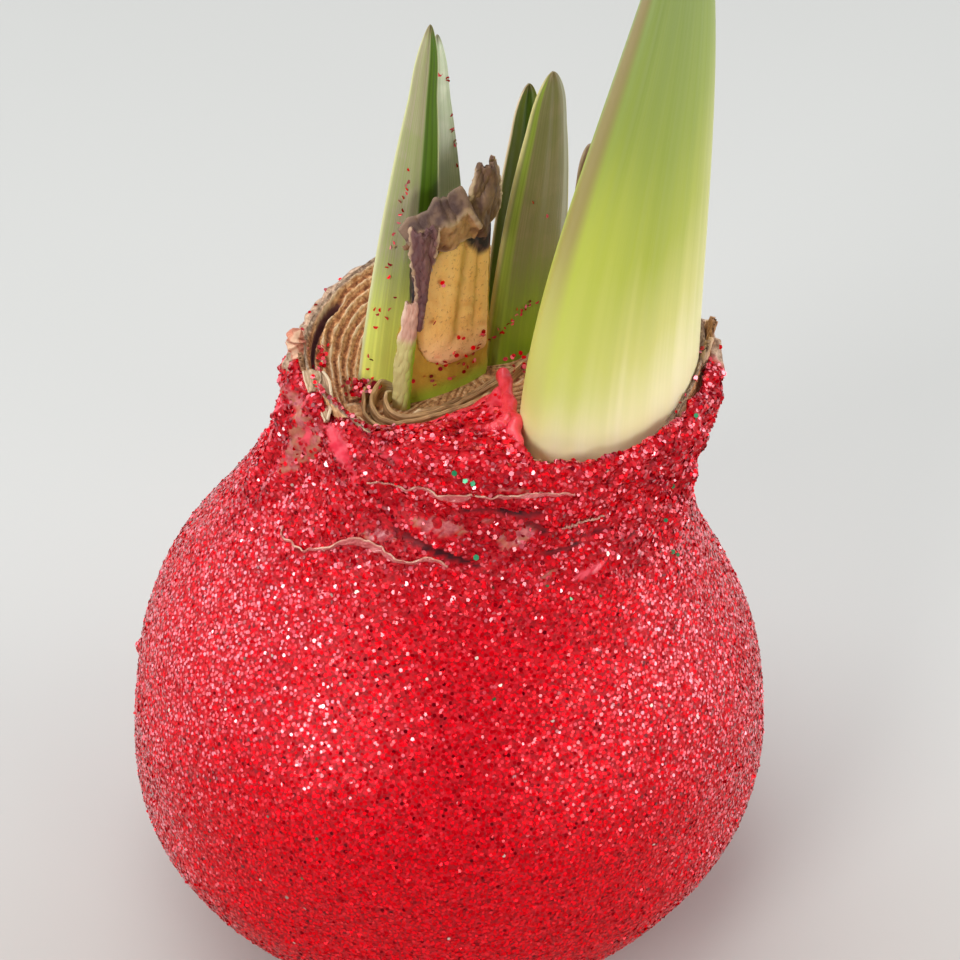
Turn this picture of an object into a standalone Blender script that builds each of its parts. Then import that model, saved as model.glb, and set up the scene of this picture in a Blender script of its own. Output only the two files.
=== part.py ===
"""A wax-dipped amaryllis bulb with its leaf shoots and its flower bud.

The bulb stands on a small flat spot under its wax coat. The frame's origin is the middle of that spot, with
+Z up, +X to the right of the front view and -Y towards the front. Sizes below are in millimetres and angles in
degrees; lengths become metres where vertices are placed.
"""
import bmesh
import bpy
import numpy as np

MM = 0.001

# Wax coat and bulb
AROUND = 60
COAT_THICKNESS = 1.5
SEAT_GAP = 0.5
FLAT_SPOT_RADIUS = 23.5
# Outline of the coat as (radius, height), from the inner edge of the lip down to the flat spot
COAT_OUTLINE = [
    (28.4, 101.6), (29.1, 102.5), (30.8, 102.2), (32.0, 100.4), (32.2, 97.0), (31.9, 92.0), (33.1, 86.0),
    (36.2, 78.0), (41.3, 68.0), (46.7, 58.0), (50.3, 48.0), (52.0, 38.0), (52.4, 28.0), (48.7, 18.0),
    (42.2, 10.0), (34.1, 4.0), (28.1, 1.0), (FLAT_SPOT_RADIUS, 0.0),
]
ROWS_PER_SPAN = 2
# The insets of the outline start past the tight curve of its lip, so that they do not fold back, and keep
# every second row, because nothing sees them
COAT_INNER_START = 3
BULB_START = 5

# Neck: it leans towards the shoots and turns oval on the way up
LEAN_START = 60.0
LEAN_SPAN = 46.0
LEAN = (9.2, 4.0)
BODY_SWAY = 1.2
BODY_SWAY_SPAN = 30.0
OVAL_START = 45.0
OVAL_SPAN = 50.0
OVAL_RATIO = 0.79

# Cut top of the neck: dry scale edges ring upon ring round the shoots
NECK_RADIUS = 30.2
PIT_HEIGHT = 99.0
PIT_SHARE = 0.45
PIT_CENTRE = (4.2, 6.3)
PIT_HALF_LENGTH = 20.5
PIT_HALF_WIDTH = 7.0
SHOOT_ANGLE = 33.0
RING_COUNT = 7
RING_HEIGHT = 1.2
OUTER_RING_RADIUS = 27.5
BOWL_RISE = 4.2
LIP_SHARE = COAT_OUTLINE[0][0] / NECK_RADIUS
LIP_REST = 0.99
LIP_FRONT = 0.80

# Shoots stand in plain pockets in the neck
POCKET_HEIGHT = 90.0
POCKET_GAP = 0.3
LEAF_THICKNESS = 1.3


def smooth(value):
    """Ease from 0 to 1 with flat ends."""
    t = np.clip(value, 0.0, 1.0)
    return t * t * (3.0 - 2.0 * t)


def hump(angle, centre, spread):
    """A bell of height 1 round an angle, all in degrees."""
    away = (angle - centre + 180.0) % 360.0 - 180.0
    return np.exp(-0.5 * (away / spread) ** 2)


def smooth_chain(points, rows):
    """Catmull-Rom curve through the points, with the same number of rows in each span."""
    p = np.array([points[0]] + list(points) + [points[-1]], dtype=float)
    chain = []
    for i in range(1, len(p) - 2):
        a, b, c, d = p[i - 1], p[i], p[i + 1], p[i + 2]
        for t in np.arange(rows) / rows:
            chain.append(0.5 * (2 * b + (c - a) * t + (2 * a - 5 * b + 4 * c - d) * t ** 2
                                + (3 * b - a - 3 * c + d) * t ** 3))
    chain.append(p[-2])
    return np.array(chain)


def inset(chain, distance, start):
    """Move a top-to-bottom outline inwards along its normals, and keep every second row from start."""
    step = np.gradient(chain, axis=0)
    step /= np.linalg.norm(step, axis=1)[:, None]
    moved = chain + distance * np.column_stack([step[:, 1], -step[:, 0]])
    return np.vstack([moved[start:-1:2], moved[-1:]])


def rim_rise(angle):
    """How much higher than its mean the rim of the neck stands, round the neck."""
    return (4.0 * hump(angle, 4, 15) + 5.8 * hump(angle, 122, 32) + 1.2 * hump(angle, 185, 20)
            + 0.4 * hump(angle, 250, 12) - 1.6 * hump(angle, 298, 17))


def lip_share(angle):
    """Where the wax ends, as a share of the neck's radius: far in at the front, at the rim elsewhere."""
    reach = smooth((angle - 226) / 26) * smooth((283 - angle) / 17)
    return LIP_REST - (LIP_REST - LIP_FRONT) * reach


def ring_squash(angle):
    """The scale edges stand lower at the front, where wax has run over them, and lowest before the bud."""
    front = smooth((angle - 215) / 30) * smooth((345 - angle) / 25)
    before_bud = smooth((angle - 268) / 15) * smooth((338 - angle) / 25)
    return 1.0 - 0.45 * front - 0.33 * before_bud


def waviness(angle, height):
    """Shallow dents of the body, its fuller left and slimmer right shoulder, and the neck's folds and flap.

    All of it is added to the radius.
    """
    turn = np.radians(angle)
    body = np.sin(np.pi * np.clip(height / 96.0, 0, 1)) ** 2
    dents = 0.45 * np.sin(2 * turn + 0.6) + 0.30 * np.sin(3 * turn + 2.0) + 0.18 * np.sin(5 * turn + height / 17)
    neck = smooth((height - 70) / 12) * smooth((101 - height) / 6)
    folds = 0.50 * np.sin(7 * turn + height / 9) + 0.35 * np.sin(12 * turn - height / 6 + 1.0)
    left = 1.3 * hump(angle, 163, 22) * np.exp(-0.5 * ((height - 64) / 10) ** 2)
    right = 1.4 * hump(angle, 357, 20) * np.exp(-0.5 * ((height - 81) / 7) ** 2)
    flap = 0.9 * hump(angle, 350, 14) * np.exp(-0.5 * ((height - 95) / 5) ** 2)
    return body * dents + neck * folds + left - right + flap


def neck_shape(points):
    """Bend turned points into the real bulb.

    Points are given on circles about Z. Each is waved in radius, and below the neck it moves with the lean and
    the oval. On the cut top its circle is stretched between two ellipses: the narrow one round the shoots and
    the outline of the neck.
    """
    x, y, z = points.T
    radius = np.hypot(x, y)
    angle = np.degrees(np.arctan2(y, x)) % 360.0
    turn = np.radians(angle)
    on_wall = smooth(radius / NECK_RADIUS * 2.0 - 0.9)
    radius = radius + waviness(angle, z) * on_wall * (z > 0.5)

    lean = smooth((z - LEAN_START) / LEAN_SPAN)
    centre_x = LEAN[0] * lean + BODY_SWAY * smooth(z / BODY_SWAY_SPAN)
    centre_y = LEAN[1] * lean
    oval = 1.0 - (1.0 - OVAL_RATIO) * smooth((z - OVAL_START) / OVAL_SPAN)
    plain_x = centre_x + radius * np.cos(turn)
    plain_y = centre_y + radius * oval * np.sin(turn)

    share = radius / NECK_RADIUS
    lip = lip_share(angle)
    inside_lip = PIT_SHARE + (share - PIT_SHARE) / (LIP_SHARE - PIT_SHARE) * (lip - PIT_SHARE)
    under_lip = lip + (share - LIP_SHARE) / (1.0 - LIP_SHARE) * (1.0 - lip)
    share = np.where(share < PIT_SHARE, share, np.where(share < LIP_SHARE, inside_lip, under_lip))
    ring = np.clip((share - PIT_SHARE) / (1.0 - PIT_SHARE), 0.0, 1.0)
    fan = np.clip(share / PIT_SHARE, 0.0, 1.0)
    swing = np.radians(angle - SHOOT_ANGLE)
    tilt = np.radians(SHOOT_ANGLE)
    along = PIT_HALF_LENGTH * np.cos(swing) * fan
    aside = PIT_HALF_WIDTH * np.sin(swing) * fan
    pit_x = PIT_CENTRE[0] + along * np.cos(tilt) - aside * np.sin(tilt)
    pit_y = PIT_CENTRE[1] + along * np.sin(tilt) + aside * np.cos(tilt)
    edge_x = centre_x + NECK_RADIUS * np.cos(turn)
    edge_y = centre_y + NECK_RADIUS * oval * np.sin(turn)
    top = smooth((z - 90.0) / 7.0) * (share < 1.0)
    new_x = plain_x + top * ((1.0 - ring) * pit_x + ring * edge_x - plain_x)
    new_y = plain_y + top * ((1.0 - ring) * pit_y + ring * edge_y - plain_y)

    squashed = PIT_HEIGHT + (z - PIT_HEIGHT) * ring_squash(angle)
    new_z = np.where((z > PIT_HEIGHT) & (np.hypot(x, y) < OUTER_RING_RADIUS + 0.2), squashed, z)
    lift = smooth((z - 84.0) / 16.0) * np.where(share < 1.0, ring, 1.0)
    new_z = new_z + lift * rim_rise(angle)
    return np.column_stack([new_x, new_y, new_z])


def collection(name):
    """A collection linked to the scene."""
    made = bpy.data.collections.new(name)
    bpy.context.scene.collection.children.link(made)
    return made


def add_object(name, mesh, home, material=None):
    """An object in its collection, with its own material."""
    made = bpy.data.objects.new(name, mesh)
    home.objects.link(made)
    if material is not None:
        mesh.materials.clear()
        mesh.materials.append(material)
    return made


def finish(name, colour, roughness):
    """A plain Principled BSDF in the piece's own colour."""
    made = bpy.data.materials.new(name)
    made.use_nodes = True
    shader = made.node_tree.nodes["Principled BSDF"]
    shader.inputs["Base Color"].default_value = (*colour, 1.0)
    shader.inputs["Roughness"].default_value = roughness
    shader.inputs["Metallic"].default_value = 0.0
    return made


def apply_modifiers(item):
    """Replace an object's mesh by its evaluated one."""
    bpy.context.view_layer.update()
    evaluated = item.evaluated_get(bpy.context.evaluated_depsgraph_get())
    item.data = bpy.data.meshes.new_from_object(evaluated)
    item.modifiers.clear()


def reshape(mesh, formula):
    """Move every vertex by a formula on an array of points in millimetres."""
    flat = np.empty(len(mesh.vertices) * 3)
    mesh.vertices.foreach_get("co", flat)
    moved = formula(flat.reshape(-1, 3) / MM) * MM
    mesh.vertices.foreach_set("co", moved.ravel())
    mesh.update()


def turned(name, profile, steps, home, material, formula):
    """Spin a profile of (radius, height) about Z, then bend the result by a formula."""
    mesh = bpy.data.meshes.new(name)
    points = [(radius * MM, 0.0, height * MM) for radius, height in profile]
    mesh.from_pydata(points, [(i, i + 1) for i in range(len(points) - 1)], [])
    item = add_object(name, mesh, home)
    screw = item.modifiers.new("turn", "SCREW")
    screw.steps = steps
    screw.render_steps = steps
    screw.use_merge_vertices = True
    screw.merge_threshold = 0.00001
    apply_modifiers(item)
    reshape(item.data, formula)
    item.data.materials.append(material)
    return item


def sheet(name, across, along, thickness, home, material, formula):
    """A grid bent by formula(u, v), with u from -1 to 1 and v from 0 to 1, given an even thickness."""
    bm = bmesh.new()
    bmesh.ops.create_grid(bm, x_segments=across, y_segments=along, size=1.0)
    bmesh.ops.triangulate(bm, faces=bm.faces)
    mesh = bpy.data.meshes.new(name)
    bm.to_mesh(mesh)
    bm.free()
    reshape(mesh, lambda p: formula(p[:, 0] * MM, (p[:, 1] * MM + 1.0) / 2.0))
    item = add_object(name, mesh, home, material)
    solid = item.modifiers.new("thickness", "SOLIDIFY")
    solid.thickness = thickness * MM
    solid.offset = 0.0
    apply_modifiers(item)
    return item


def boolean(item, other, operation):
    """Cut or join another closed mesh."""
    step = item.modifiers.new(other.name, "BOOLEAN")
    step.operation = operation
    step.solver = "EXACT"
    step.object = other
    apply_modifiers(item)


# Shoots

def blade_formula(base, tip, width, angle, bulge, taper, grow=0.0):
    """A leaf blade from base to tip.

    It is a straight rib with a channelled section: the middle stands out by bulge towards the front when the
    angle of the width is 0, and the width shrinks to a blunt tip as (1 - v^p)^q.
    """
    base = np.array(base, dtype=float)
    tip = np.array(tip, dtype=float)
    turn = np.radians(angle)
    sideways = np.array([np.cos(turn), np.sin(turn), 0.0])
    outwards = np.array([np.sin(turn), -np.cos(turn), 0.0])
    power, blunt = taper
    root = (POCKET_HEIGHT - grow - base[2]) / (tip[2] - base[2])

    def formula(u, v):
        rise = root + (1.0 - root) * v
        shrink = (1.0 - np.clip(rise, 0.0, 1.0) ** power) ** blunt
        half = 0.5 * (width * np.maximum(shrink, 0.09)) + grow
        middle = base + np.outer(rise, tip - base)
        section = bulge * (1.0 - u * u) * np.clip(shrink * 1.4, 0.0, 1.0)
        return middle + np.outer(half * u, sideways) + np.outer(section, outwards)

    return formula


LEAVES = {
    "leaf_left_front": dict(base=(-6.4, 2.5, 100), tip=(0.0, 3.2, 157.5), width=11.0, angle=16, bulge=1.2,
                            taper=(1.6, 0.78)),
    "leaf_left_back": dict(base=(0.4, 8.6, 100), tip=(1.4, 7.4, 153.5), width=10.2, angle=34, bulge=-1.0,
                           taper=(1.7, 0.8)),
    "leaf_right_front": dict(base=(13.3, 11.2, 100), tip=(16.4, 9.0, 147.5), width=12.8, angle=34, bulge=1.2,
                             taper=(1.9, 0.6)),
    "leaf_right_back": dict(base=(11.2, 14.8, 100), tip=(13.3, 12.0, 144.0), width=10.4, angle=34, bulge=-0.9,
                            taper=(1.9, 0.6)),
    "dry_leaf_back": dict(base=(22.6, 18.0, 100), tip=(22.4, 17.0, 131.5), width=6.0, angle=34, bulge=0.8,
                          taper=(4.0, 0.5)),
}

WITHERED_LEFT = (-6.2, -3.3)
WITHERED_RIGHT = (7.4, 5.0)
WITHERED_HEIGHT = 128.5
WITHERED_THICKNESS = 2.0


def withered_formula(grow=0.0):
    """The withered leaf: an upright ribbed plate whose ragged top folds to the front."""
    left = np.array([*WITHERED_LEFT, 0.0])
    right = np.array([*WITHERED_RIGHT, 0.0])
    sideways = (right - left) / np.linalg.norm(right - left)
    outwards = np.array([sideways[1], -sideways[0], 0.0])
    half = np.linalg.norm(right - left) / 2.0 + grow

    def formula(u, v):
        peak = 9.0 * hump(u * 100, 84, 15) + 4.0 * hump(u * 100, 15, 26) - 1.5 * hump(u * 100, 54, 9)
        bottom = POCKET_HEIGHT - grow
        height = bottom + v * (WITHERED_HEIGHT + peak - bottom)
        above = smooth((height - 104.0) / 12.0) * (grow == 0.0)
        ribs = 0.45 * np.cos(u * 9.0) * above
        roll = -1.1 * u * u
        fold = 2.6 * smooth((height - 122.0) / 8.0) * (1.0 - smooth((u - 0.25) / 0.2)) * (grow == 0.0)
        lean_x = 0.035 * (height - 100.0)
        narrow = 1.0 - 0.05 * smooth((height - 100.0) / 25.0)
        centre = (left + right) / 2.0
        spots = np.outer(half * narrow * u, sideways) + np.outer(ribs + roll + fold, outwards) + centre
        spots[:, 0] += lean_x
        spots[:, 2] = height
        return spots

    return formula


BUD_BASE = (25.4, -4.7)
BUD_TOP_SHIFT = (6.7, -0.5)
BUD_HALF_LENGTH = 14.9
BUD_FLATNESS = 0.55
BUD_ANGLE = 35.0
BUD_FOOT = 98.0
BUD_WAIST = 0.82
BUD_TIP = 187.0
BUD_ROWS = 17
BUD_AROUND = 24


def bud_profile(grow=0.0):
    """Rows of the bud as (share of its half length, height), from the tip down to the pocket's floor."""
    heights = BUD_TIP - (BUD_TIP - POCKET_HEIGHT + grow) * np.linspace(0, 1, BUD_ROWS) ** 1.2
    climb = np.clip((heights - BUD_FOOT) / (BUD_TIP + 1.0 - BUD_FOOT), 0, 1)
    waist = BUD_WAIST + (1.0 - BUD_WAIST) * smooth((heights - POCKET_HEIGHT) / (BUD_FOOT - POCKET_HEIGHT))
    share = (1.0 - climb ** 1.55) * BUD_HALF_LENGTH * waist + grow
    return [(0.0, heights[0] + 0.4)] + list(zip(share, heights)) + [(0.0, heights[-1])]


def bud_shape(points):
    """Flatten the turned bud, turn its flat side to the front and lean it to the right."""
    x, y, z = points.T
    turn = np.radians(BUD_ANGLE)
    flat = BUD_FLATNESS + 0.1 * smooth((z - 140.0) / 45.0)
    keel = 1.0 + 0.04 * np.cos(2 * np.arctan2(y, x))
    along = x * keel
    aside = y * flat
    shift = smooth((z - 100.0) / 85.0)
    new_x = BUD_BASE[0] + BUD_TOP_SHIFT[0] * shift + along * np.cos(turn) - aside * np.sin(turn)
    new_y = BUD_BASE[1] + BUD_TOP_SHIFT[1] * shift + along * np.sin(turn) + aside * np.cos(turn)
    return np.column_stack([new_x, new_y, z])


# Bulb

def bulb_profile(outline):
    """Rows of the bulb: the pit floor, the scale edges rising outwards, then the body down to its base."""
    body = inset(outline, COAT_THICKNESS + SEAT_GAP, BULB_START)
    pit = PIT_SHARE * NECK_RADIUS
    pitch = (OUTER_RING_RADIUS - pit) / RING_COUNT
    rows = [(0.0, PIT_HEIGHT), (pit * 0.5, PIT_HEIGHT), (pit, PIT_HEIGHT)]
    for i in range(RING_COUNT):
        bowl = PIT_HEIGHT + 0.3 + BOWL_RISE * ((i + 1) / RING_COUNT) ** 1.2
        start = pit + i * pitch
        rows.append((start + 0.30 * pitch, bowl - 0.4))
        rows.append((start + 0.55 * pitch, bowl - 0.4 + RING_HEIGHT))
        rows.append((start + pitch, bowl - 0.1 + RING_HEIGHT))
        if i < RING_COUNT - 1:
            rows.append((start + 1.02 * pitch, bowl - 0.1))
    rows.append((OUTER_RING_RADIUS + 0.4, body[0][1]))
    rows += [tuple(p) for p in body]
    rows.append((0.0, body[-1][1]))
    return rows


def scale_tip_formula(angle, spread, foot, top, share, curl):
    """A papery scale tip standing on the outer rings: an arc of the neck that narrows upwards to a point."""

    def formula(u, v):
        turn = np.radians(angle + spread * u * (1.0 - 0.6 * v))
        height = foot + (top - foot) * v - 2.0 * u * u * v
        radius = NECK_RADIUS * share + curl * v * v
        new_x = LEAN[0] + BODY_SWAY + radius * np.cos(turn)
        new_y = LEAN[1] + radius * OVAL_RATIO * np.sin(turn)
        return np.column_stack([new_x, new_y, height])

    return formula


SCALE_TIPS = {
    "right_tip": dict(angle=3, spread=13, foot=101, top=110.0, share=0.935, curl=1.2),
    "left_curl": dict(angle=207, spread=7, foot=99, top=107.0, share=0.93, curl=-1.0),
    "left_tab": dict(angle=176, spread=6, foot=99, top=108.0, share=0.925, curl=1.2),
}
SCALE_THICKNESS = 0.8

# Bare wax dribble over the scale edges: path points, then its half thickness
DRIBBLE_PATH = [(12.1, -21.2, 101.8), (11.9, -18.2, 103.2), (11.2, -13.0, 103.8), (10.7, -9.0, 104.1),
                (10.2, -5.0, 103.9), (9.6, -1.2, 103.5)]
DRIBBLE_RADIUS = 1.0


def dribble(home):
    """A short tube with a round end, made a mesh so that it can be joined to the coat."""
    curve = bpy.data.curves.new("dribble", "CURVE")
    curve.dimensions = "3D"
    curve.bevel_depth = DRIBBLE_RADIUS * MM
    curve.bevel_resolution = 2
    curve.use_fill_caps = True
    line = curve.splines.new("POLY")
    line.points.add(len(DRIBBLE_PATH) - 1)
    for point, spot in zip(line.points, DRIBBLE_PATH):
        point.co = (*[c * MM for c in spot], 1.0)
    line.points[-1].radius = 0.8
    item = bpy.data.objects.new("dribble_curve", curve)
    home.objects.link(item)
    bpy.context.view_layer.update()
    mesh = bpy.data.meshes.new_from_object(item.evaluated_get(bpy.context.evaluated_depsgraph_get()))
    bpy.data.objects.remove(item)
    bm = bmesh.new()
    bm.from_mesh(mesh)
    bmesh.ops.remove_doubles(bm, verts=bm.verts, dist=0.00001)
    bmesh.ops.recalc_face_normals(bm, faces=bm.faces)
    bm.to_mesh(mesh)
    bm.free()
    return add_object("dribble", mesh, home)


def hide(item):
    """Mark a cutter or a joined piece as a guide."""
    item.hide_render = True
    item.display_type = "WIRE"


def build():
    """Make the coat, the bulb and the shoots."""
    for item in list(bpy.data.objects):
        bpy.data.objects.remove(item)
    parts = collection("amaryllis_bulb")
    guides = collection("cutters")

    wax = finish("red_wax", (0.55, 0.005, 0.02), 0.35)
    scale = finish("dry_scale", (0.33, 0.20, 0.10), 0.8)
    green = finish("leaf_green", (0.16, 0.28, 0.10), 0.45)
    withered = finish("withered_tan", (0.60, 0.42, 0.16), 0.6)
    dry = finish("dry_brown", (0.22, 0.13, 0.09), 0.8)
    spathe = finish("bud_green", (0.42, 0.55, 0.16), 0.4)

    outline = smooth_chain(COAT_OUTLINE, ROWS_PER_SPAN)
    inner = inset(outline, COAT_THICKNESS, COAT_INNER_START)[::-1]
    coat_rows = [(0.0, inner[0][1])] + [tuple(p) for p in inner] + [tuple(p) for p in outline] + [(0.0, 0.0)]
    coat = turned("wax_coat", coat_rows, AROUND, parts, wax, neck_shape)
    drip = dribble(guides)
    boolean(coat, drip, "UNION")
    hide(drip)

    bulb = turned("bulb", bulb_profile(outline), AROUND, parts, scale, neck_shape)
    for name, values in SCALE_TIPS.items():
        tip = sheet(name, 4, 4, SCALE_THICKNESS, guides, scale, scale_tip_formula(**values))
        boolean(bulb, tip, "UNION")
        hide(tip)

    for name, values in LEAVES.items():
        material = dry if name == "dry_leaf_back" else green
        sheet(name, 6, 11, LEAF_THICKNESS, parts, material, blade_formula(**values))
        pocket = sheet(name + "_pocket", 6, 11, LEAF_THICKNESS + 2 * POCKET_GAP, guides, None,
                       blade_formula(**values, grow=POCKET_GAP))
        boolean(bulb, pocket, "DIFFERENCE")
        hide(pocket)

    sheet("withered_leaf", 14, 12, WITHERED_THICKNESS, parts, withered, withered_formula())
    pocket = sheet("withered_pocket", 14, 6, WITHERED_THICKNESS + 2 * POCKET_GAP, guides, None,
                   withered_formula(grow=POCKET_GAP))
    boolean(bulb, pocket, "DIFFERENCE")
    hide(pocket)

    turned("flower_bud", bud_profile(), BUD_AROUND, parts, spathe, bud_shape)
    pocket = turned("bud_pocket", bud_profile(POCKET_GAP), BUD_AROUND, guides, None, bud_shape)
    boolean(bulb, pocket, "DIFFERENCE")
    hide(pocket)

    for item in parts.objects:
        item.data.shade_smooth()
        item.data.set_sharp_from_angle(angle=np.radians(35))


build()
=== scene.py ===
# %% [markdown]
# # An amaryllis bulb dipped in red wax and glitter
#
# The packed model gives the frame: the places and the plain solids. This lesson dresses it. Every surface
# below is worked out with numpy as a function of two parameters, in millimetres, and turned into a mesh.
# The model has nine solids: a wax coat, the bulb inside it, four leaves, a withered leaf, a dry leaf and a
# bud. Detail that is too thin or too fine for a solid, such as foil flakes and dry scales, is added here.

# %% Load the frame
import bpy
import numpy as np
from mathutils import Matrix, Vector


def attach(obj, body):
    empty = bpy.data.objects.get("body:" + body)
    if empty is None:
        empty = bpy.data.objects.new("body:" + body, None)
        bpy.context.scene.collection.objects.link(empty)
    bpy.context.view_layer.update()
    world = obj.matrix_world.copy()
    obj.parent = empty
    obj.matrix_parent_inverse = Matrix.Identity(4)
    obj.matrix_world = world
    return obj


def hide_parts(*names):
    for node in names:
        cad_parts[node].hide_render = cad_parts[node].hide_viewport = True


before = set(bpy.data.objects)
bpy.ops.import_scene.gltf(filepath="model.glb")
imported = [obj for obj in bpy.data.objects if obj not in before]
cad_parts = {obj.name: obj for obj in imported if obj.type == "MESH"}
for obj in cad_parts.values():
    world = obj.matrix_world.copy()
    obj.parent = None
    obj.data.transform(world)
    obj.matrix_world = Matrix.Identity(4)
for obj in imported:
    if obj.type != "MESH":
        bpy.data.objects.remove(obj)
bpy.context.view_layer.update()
MM = 0.001
print("nodes:", sorted(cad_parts))

# %% [markdown]
# ## Small formulas
#
# Nothing on a grown and dipped thing is straight or even. Its shapes could be sculpted by hand, but then no
# number says what was done. A soft step, a bell on the circle and a sum of waves are all that the shapes
# below need. The waves have whole numbers of turns round the bulb, so they close without a seam.

# %% Soft steps
def smooth(value):
    """Ease from 0 to 1 with flat ends: 3t^2 - 2t^3."""
    t = np.clip(value, 0.0, 1.0)
    return t * t * (3.0 - 2.0 * t)


def between(value, low, rise, high, fall):
    """1 between low + rise and high - fall, easing to 0 at low and at high."""
    return smooth((value - low) / rise) * smooth((high - value) / fall)


print("a soft step is", smooth(0.25), "a quarter of the way up")


# %% Bells and waves
def hump(angle, centre, spread):
    """A bell of height 1 round an angle, in degrees: exp(-(away / spread)^2 / 2)."""
    away = (angle - centre + 180.0) % 360.0 - 180.0
    return np.exp(-0.5 * (away / spread) ** 2)


def bell(value, centre, spread):
    """A bell of height 1 on a straight axis."""
    return np.exp(-0.5 * ((value - centre) / spread) ** 2)


def waves(angle, height, seed, turns, pitch, count=14):
    """Sum of sines with random whole turns round the bulb and random pitch along it, about -1 to 1.

    Wave i is sin(n_i * angle + 2 pi * height / p_i + phase_i).
    """
    rng = np.random.default_rng(seed)
    total = np.zeros(np.broadcast(angle, height).shape)
    for _ in range(count):
        n = int(rng.integers(turns[0], turns[1] + 1))
        p = rng.uniform(*pitch) * rng.choice([-1, 1])
        total += np.sin(n * np.radians(angle) + 2 * np.pi * height / p + rng.uniform(0, 2 * np.pi))
    return total / np.sqrt(count)


print("a bell has fallen to", round(float(bell(1.0, 0.0, 1.0)), 2), "at one spread from its middle")

# %% [markdown]
# ## The shape of the bulb
#
# A bulb is round at the body, and its neck is an oval that leans towards the shoots and is cut off unevenly.
# A potter would turn the body on a wheel and then push the neck over by hand. The same is done here: a
# profile of radius and height is turned about Z, and one function bends every point to the leaning neck.
# That way the wax, the flakes and the torn skin all find their places from an angle and a height. The sizes
# are those of the frame, in millimetres and degrees.

# %% Sizes of the bulb
COAT_OUTLINE = [
    (28.4, 101.6), (29.1, 102.5), (30.8, 102.2), (32.0, 100.4), (32.2, 97.0), (31.9, 92.0), (33.1, 86.0),
    (36.2, 78.0), (41.3, 68.0), (46.7, 58.0), (50.3, 48.0), (52.0, 38.0), (52.4, 28.0), (48.7, 18.0),
    (42.2, 10.0), (34.1, 4.0), (28.1, 1.0), (23.5, 0.0),
]
COAT_THICKNESS = 1.5
NECK_RADIUS = 30.2
OVAL_RATIO = 0.79
RIM_HEIGHT = 106.0
LEAN = (9.2, 4.0)
LEAN_FROM = 60.0
BODY_SWAY = 1.2
BODY_TOP = 96.0
OVAL_FROM = 45.0
OVAL_OVER = 50.0
PIT_HEIGHT = 99.0
PIT_SHARE = 0.45
PIT_CENTRE = (4.2, 6.3)
PIT_HALF_LENGTH = 20.5
PIT_HALF_WIDTH = 7.0
SHOOT_ANGLE = 33.0
BOWL_RISE = 4.2
LIP_SHARE = COAT_OUTLINE[0][0] / NECK_RADIUS
LIP_REST = 0.99
LIP_FRONT = 0.80

# Rises and dips of the rim, as (millimetres, angle, spread in degrees)
RIM_PEAKS = [(4.0, 4, 15), (5.8, 122, 32), (1.2, 185, 20), (0.4, 250, 12), (-1.6, 298, 17)]
print("neck", 2 * NECK_RADIUS, "x", round(2 * NECK_RADIUS * OVAL_RATIO, 1), "mm")


# %% Curves through points
def smooth_chain(points, rows):
    """Catmull-Rom curve through the points, with the same number of rows in each span."""
    p = np.array([points[0]] + list(points) + [points[-1]], dtype=float)
    a, b, c, d = (p[i:len(p) - 3 + i, None] for i in range(4))
    t = (np.arange(rows) / rows)[None, :, None]
    square = (2 * a - 5 * b + 4 * c - d) * t ** 2
    cube = (3 * b - a - 3 * c + d) * t ** 3
    curve = 0.5 * (2 * b + (c - a) * t + square + cube)
    return np.vstack([curve.reshape(-1, p.shape[1]), p[-2]])


def along_chain(chain):
    """Share of the chain's length at each of its points, from 0 to 1."""
    steps = np.linalg.norm(np.diff(chain, axis=0), axis=1)
    return np.concatenate([[0.0], np.cumsum(steps)]) / steps.sum()


def curve_through(points, count):
    """Evenly many points on the Catmull-Rom curve through a few given ones, spaced by length."""
    chain = smooth_chain(np.array(points, float), 16)
    place = along_chain(chain)
    share = np.linspace(0, 1, count)
    return np.stack([np.interp(share, place, chain[:, i]) for i in range(chain.shape[1])], -1)


print("profile of", len(smooth_chain(COAT_OUTLINE, 24)), "points from", len(COAT_OUTLINE), "given ones")


# %% Rim, lip and folds of the neck
def rim_rise(angle):
    """How much higher than its mean the rim of the neck stands at an angle: a sum of bells."""
    return sum(rise * hump(angle, centre, spread) for rise, centre, spread in RIM_PEAKS)


def share_of_rise(height):
    """How far a height follows the rim up and down: not at all on the body, fully at the rim."""
    return smooth((height - 84.0) / 16.0)


def lip_share(angle):
    """Where the wax ends, as a share of the neck's radius: far in at the front, at the rim elsewhere."""
    return LIP_REST - (LIP_REST - LIP_FRONT) * between(angle, 226, 26, 283, 17)


def ring_squash(angle):
    """The scale edges stand lower at the front, where wax has run over them, and lowest before the bud."""
    return 1.0 - 0.45 * between(angle, 215, 30, 345, 25) - 0.33 * between(angle, 268, 15, 338, 25)


def waviness(angle, height):
    """Sines round the bulb for its shallow dents and the neck's folds, and bells for its two shoulders.

    The left shoulder is fuller, the right one is slimmer, and a flap stands out at the right of the neck.
    """
    turn = np.radians(angle)
    body = np.sin(np.pi * np.clip(height / BODY_TOP, 0, 1)) ** 2
    dents = 0.45 * np.sin(2 * turn + 0.6) + 0.30 * np.sin(3 * turn + 2.0)
    dents = dents + 0.18 * np.sin(5 * turn + height / 17)
    neck = between(height, 70, 12, 101, 6)
    folds = 0.50 * np.sin(7 * turn + height / 9) + 0.35 * np.sin(12 * turn - height / 6 + 1.0)
    left = 1.3 * hump(angle, 163, 22) * bell(height, 64, 10)
    right = 1.4 * hump(angle, 357, 20) * bell(height, 81, 7)
    flap = 0.9 * hump(angle, 350, 14) * bell(height, 95, 5)
    return body * dents + neck * folds + left - right + flap


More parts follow.
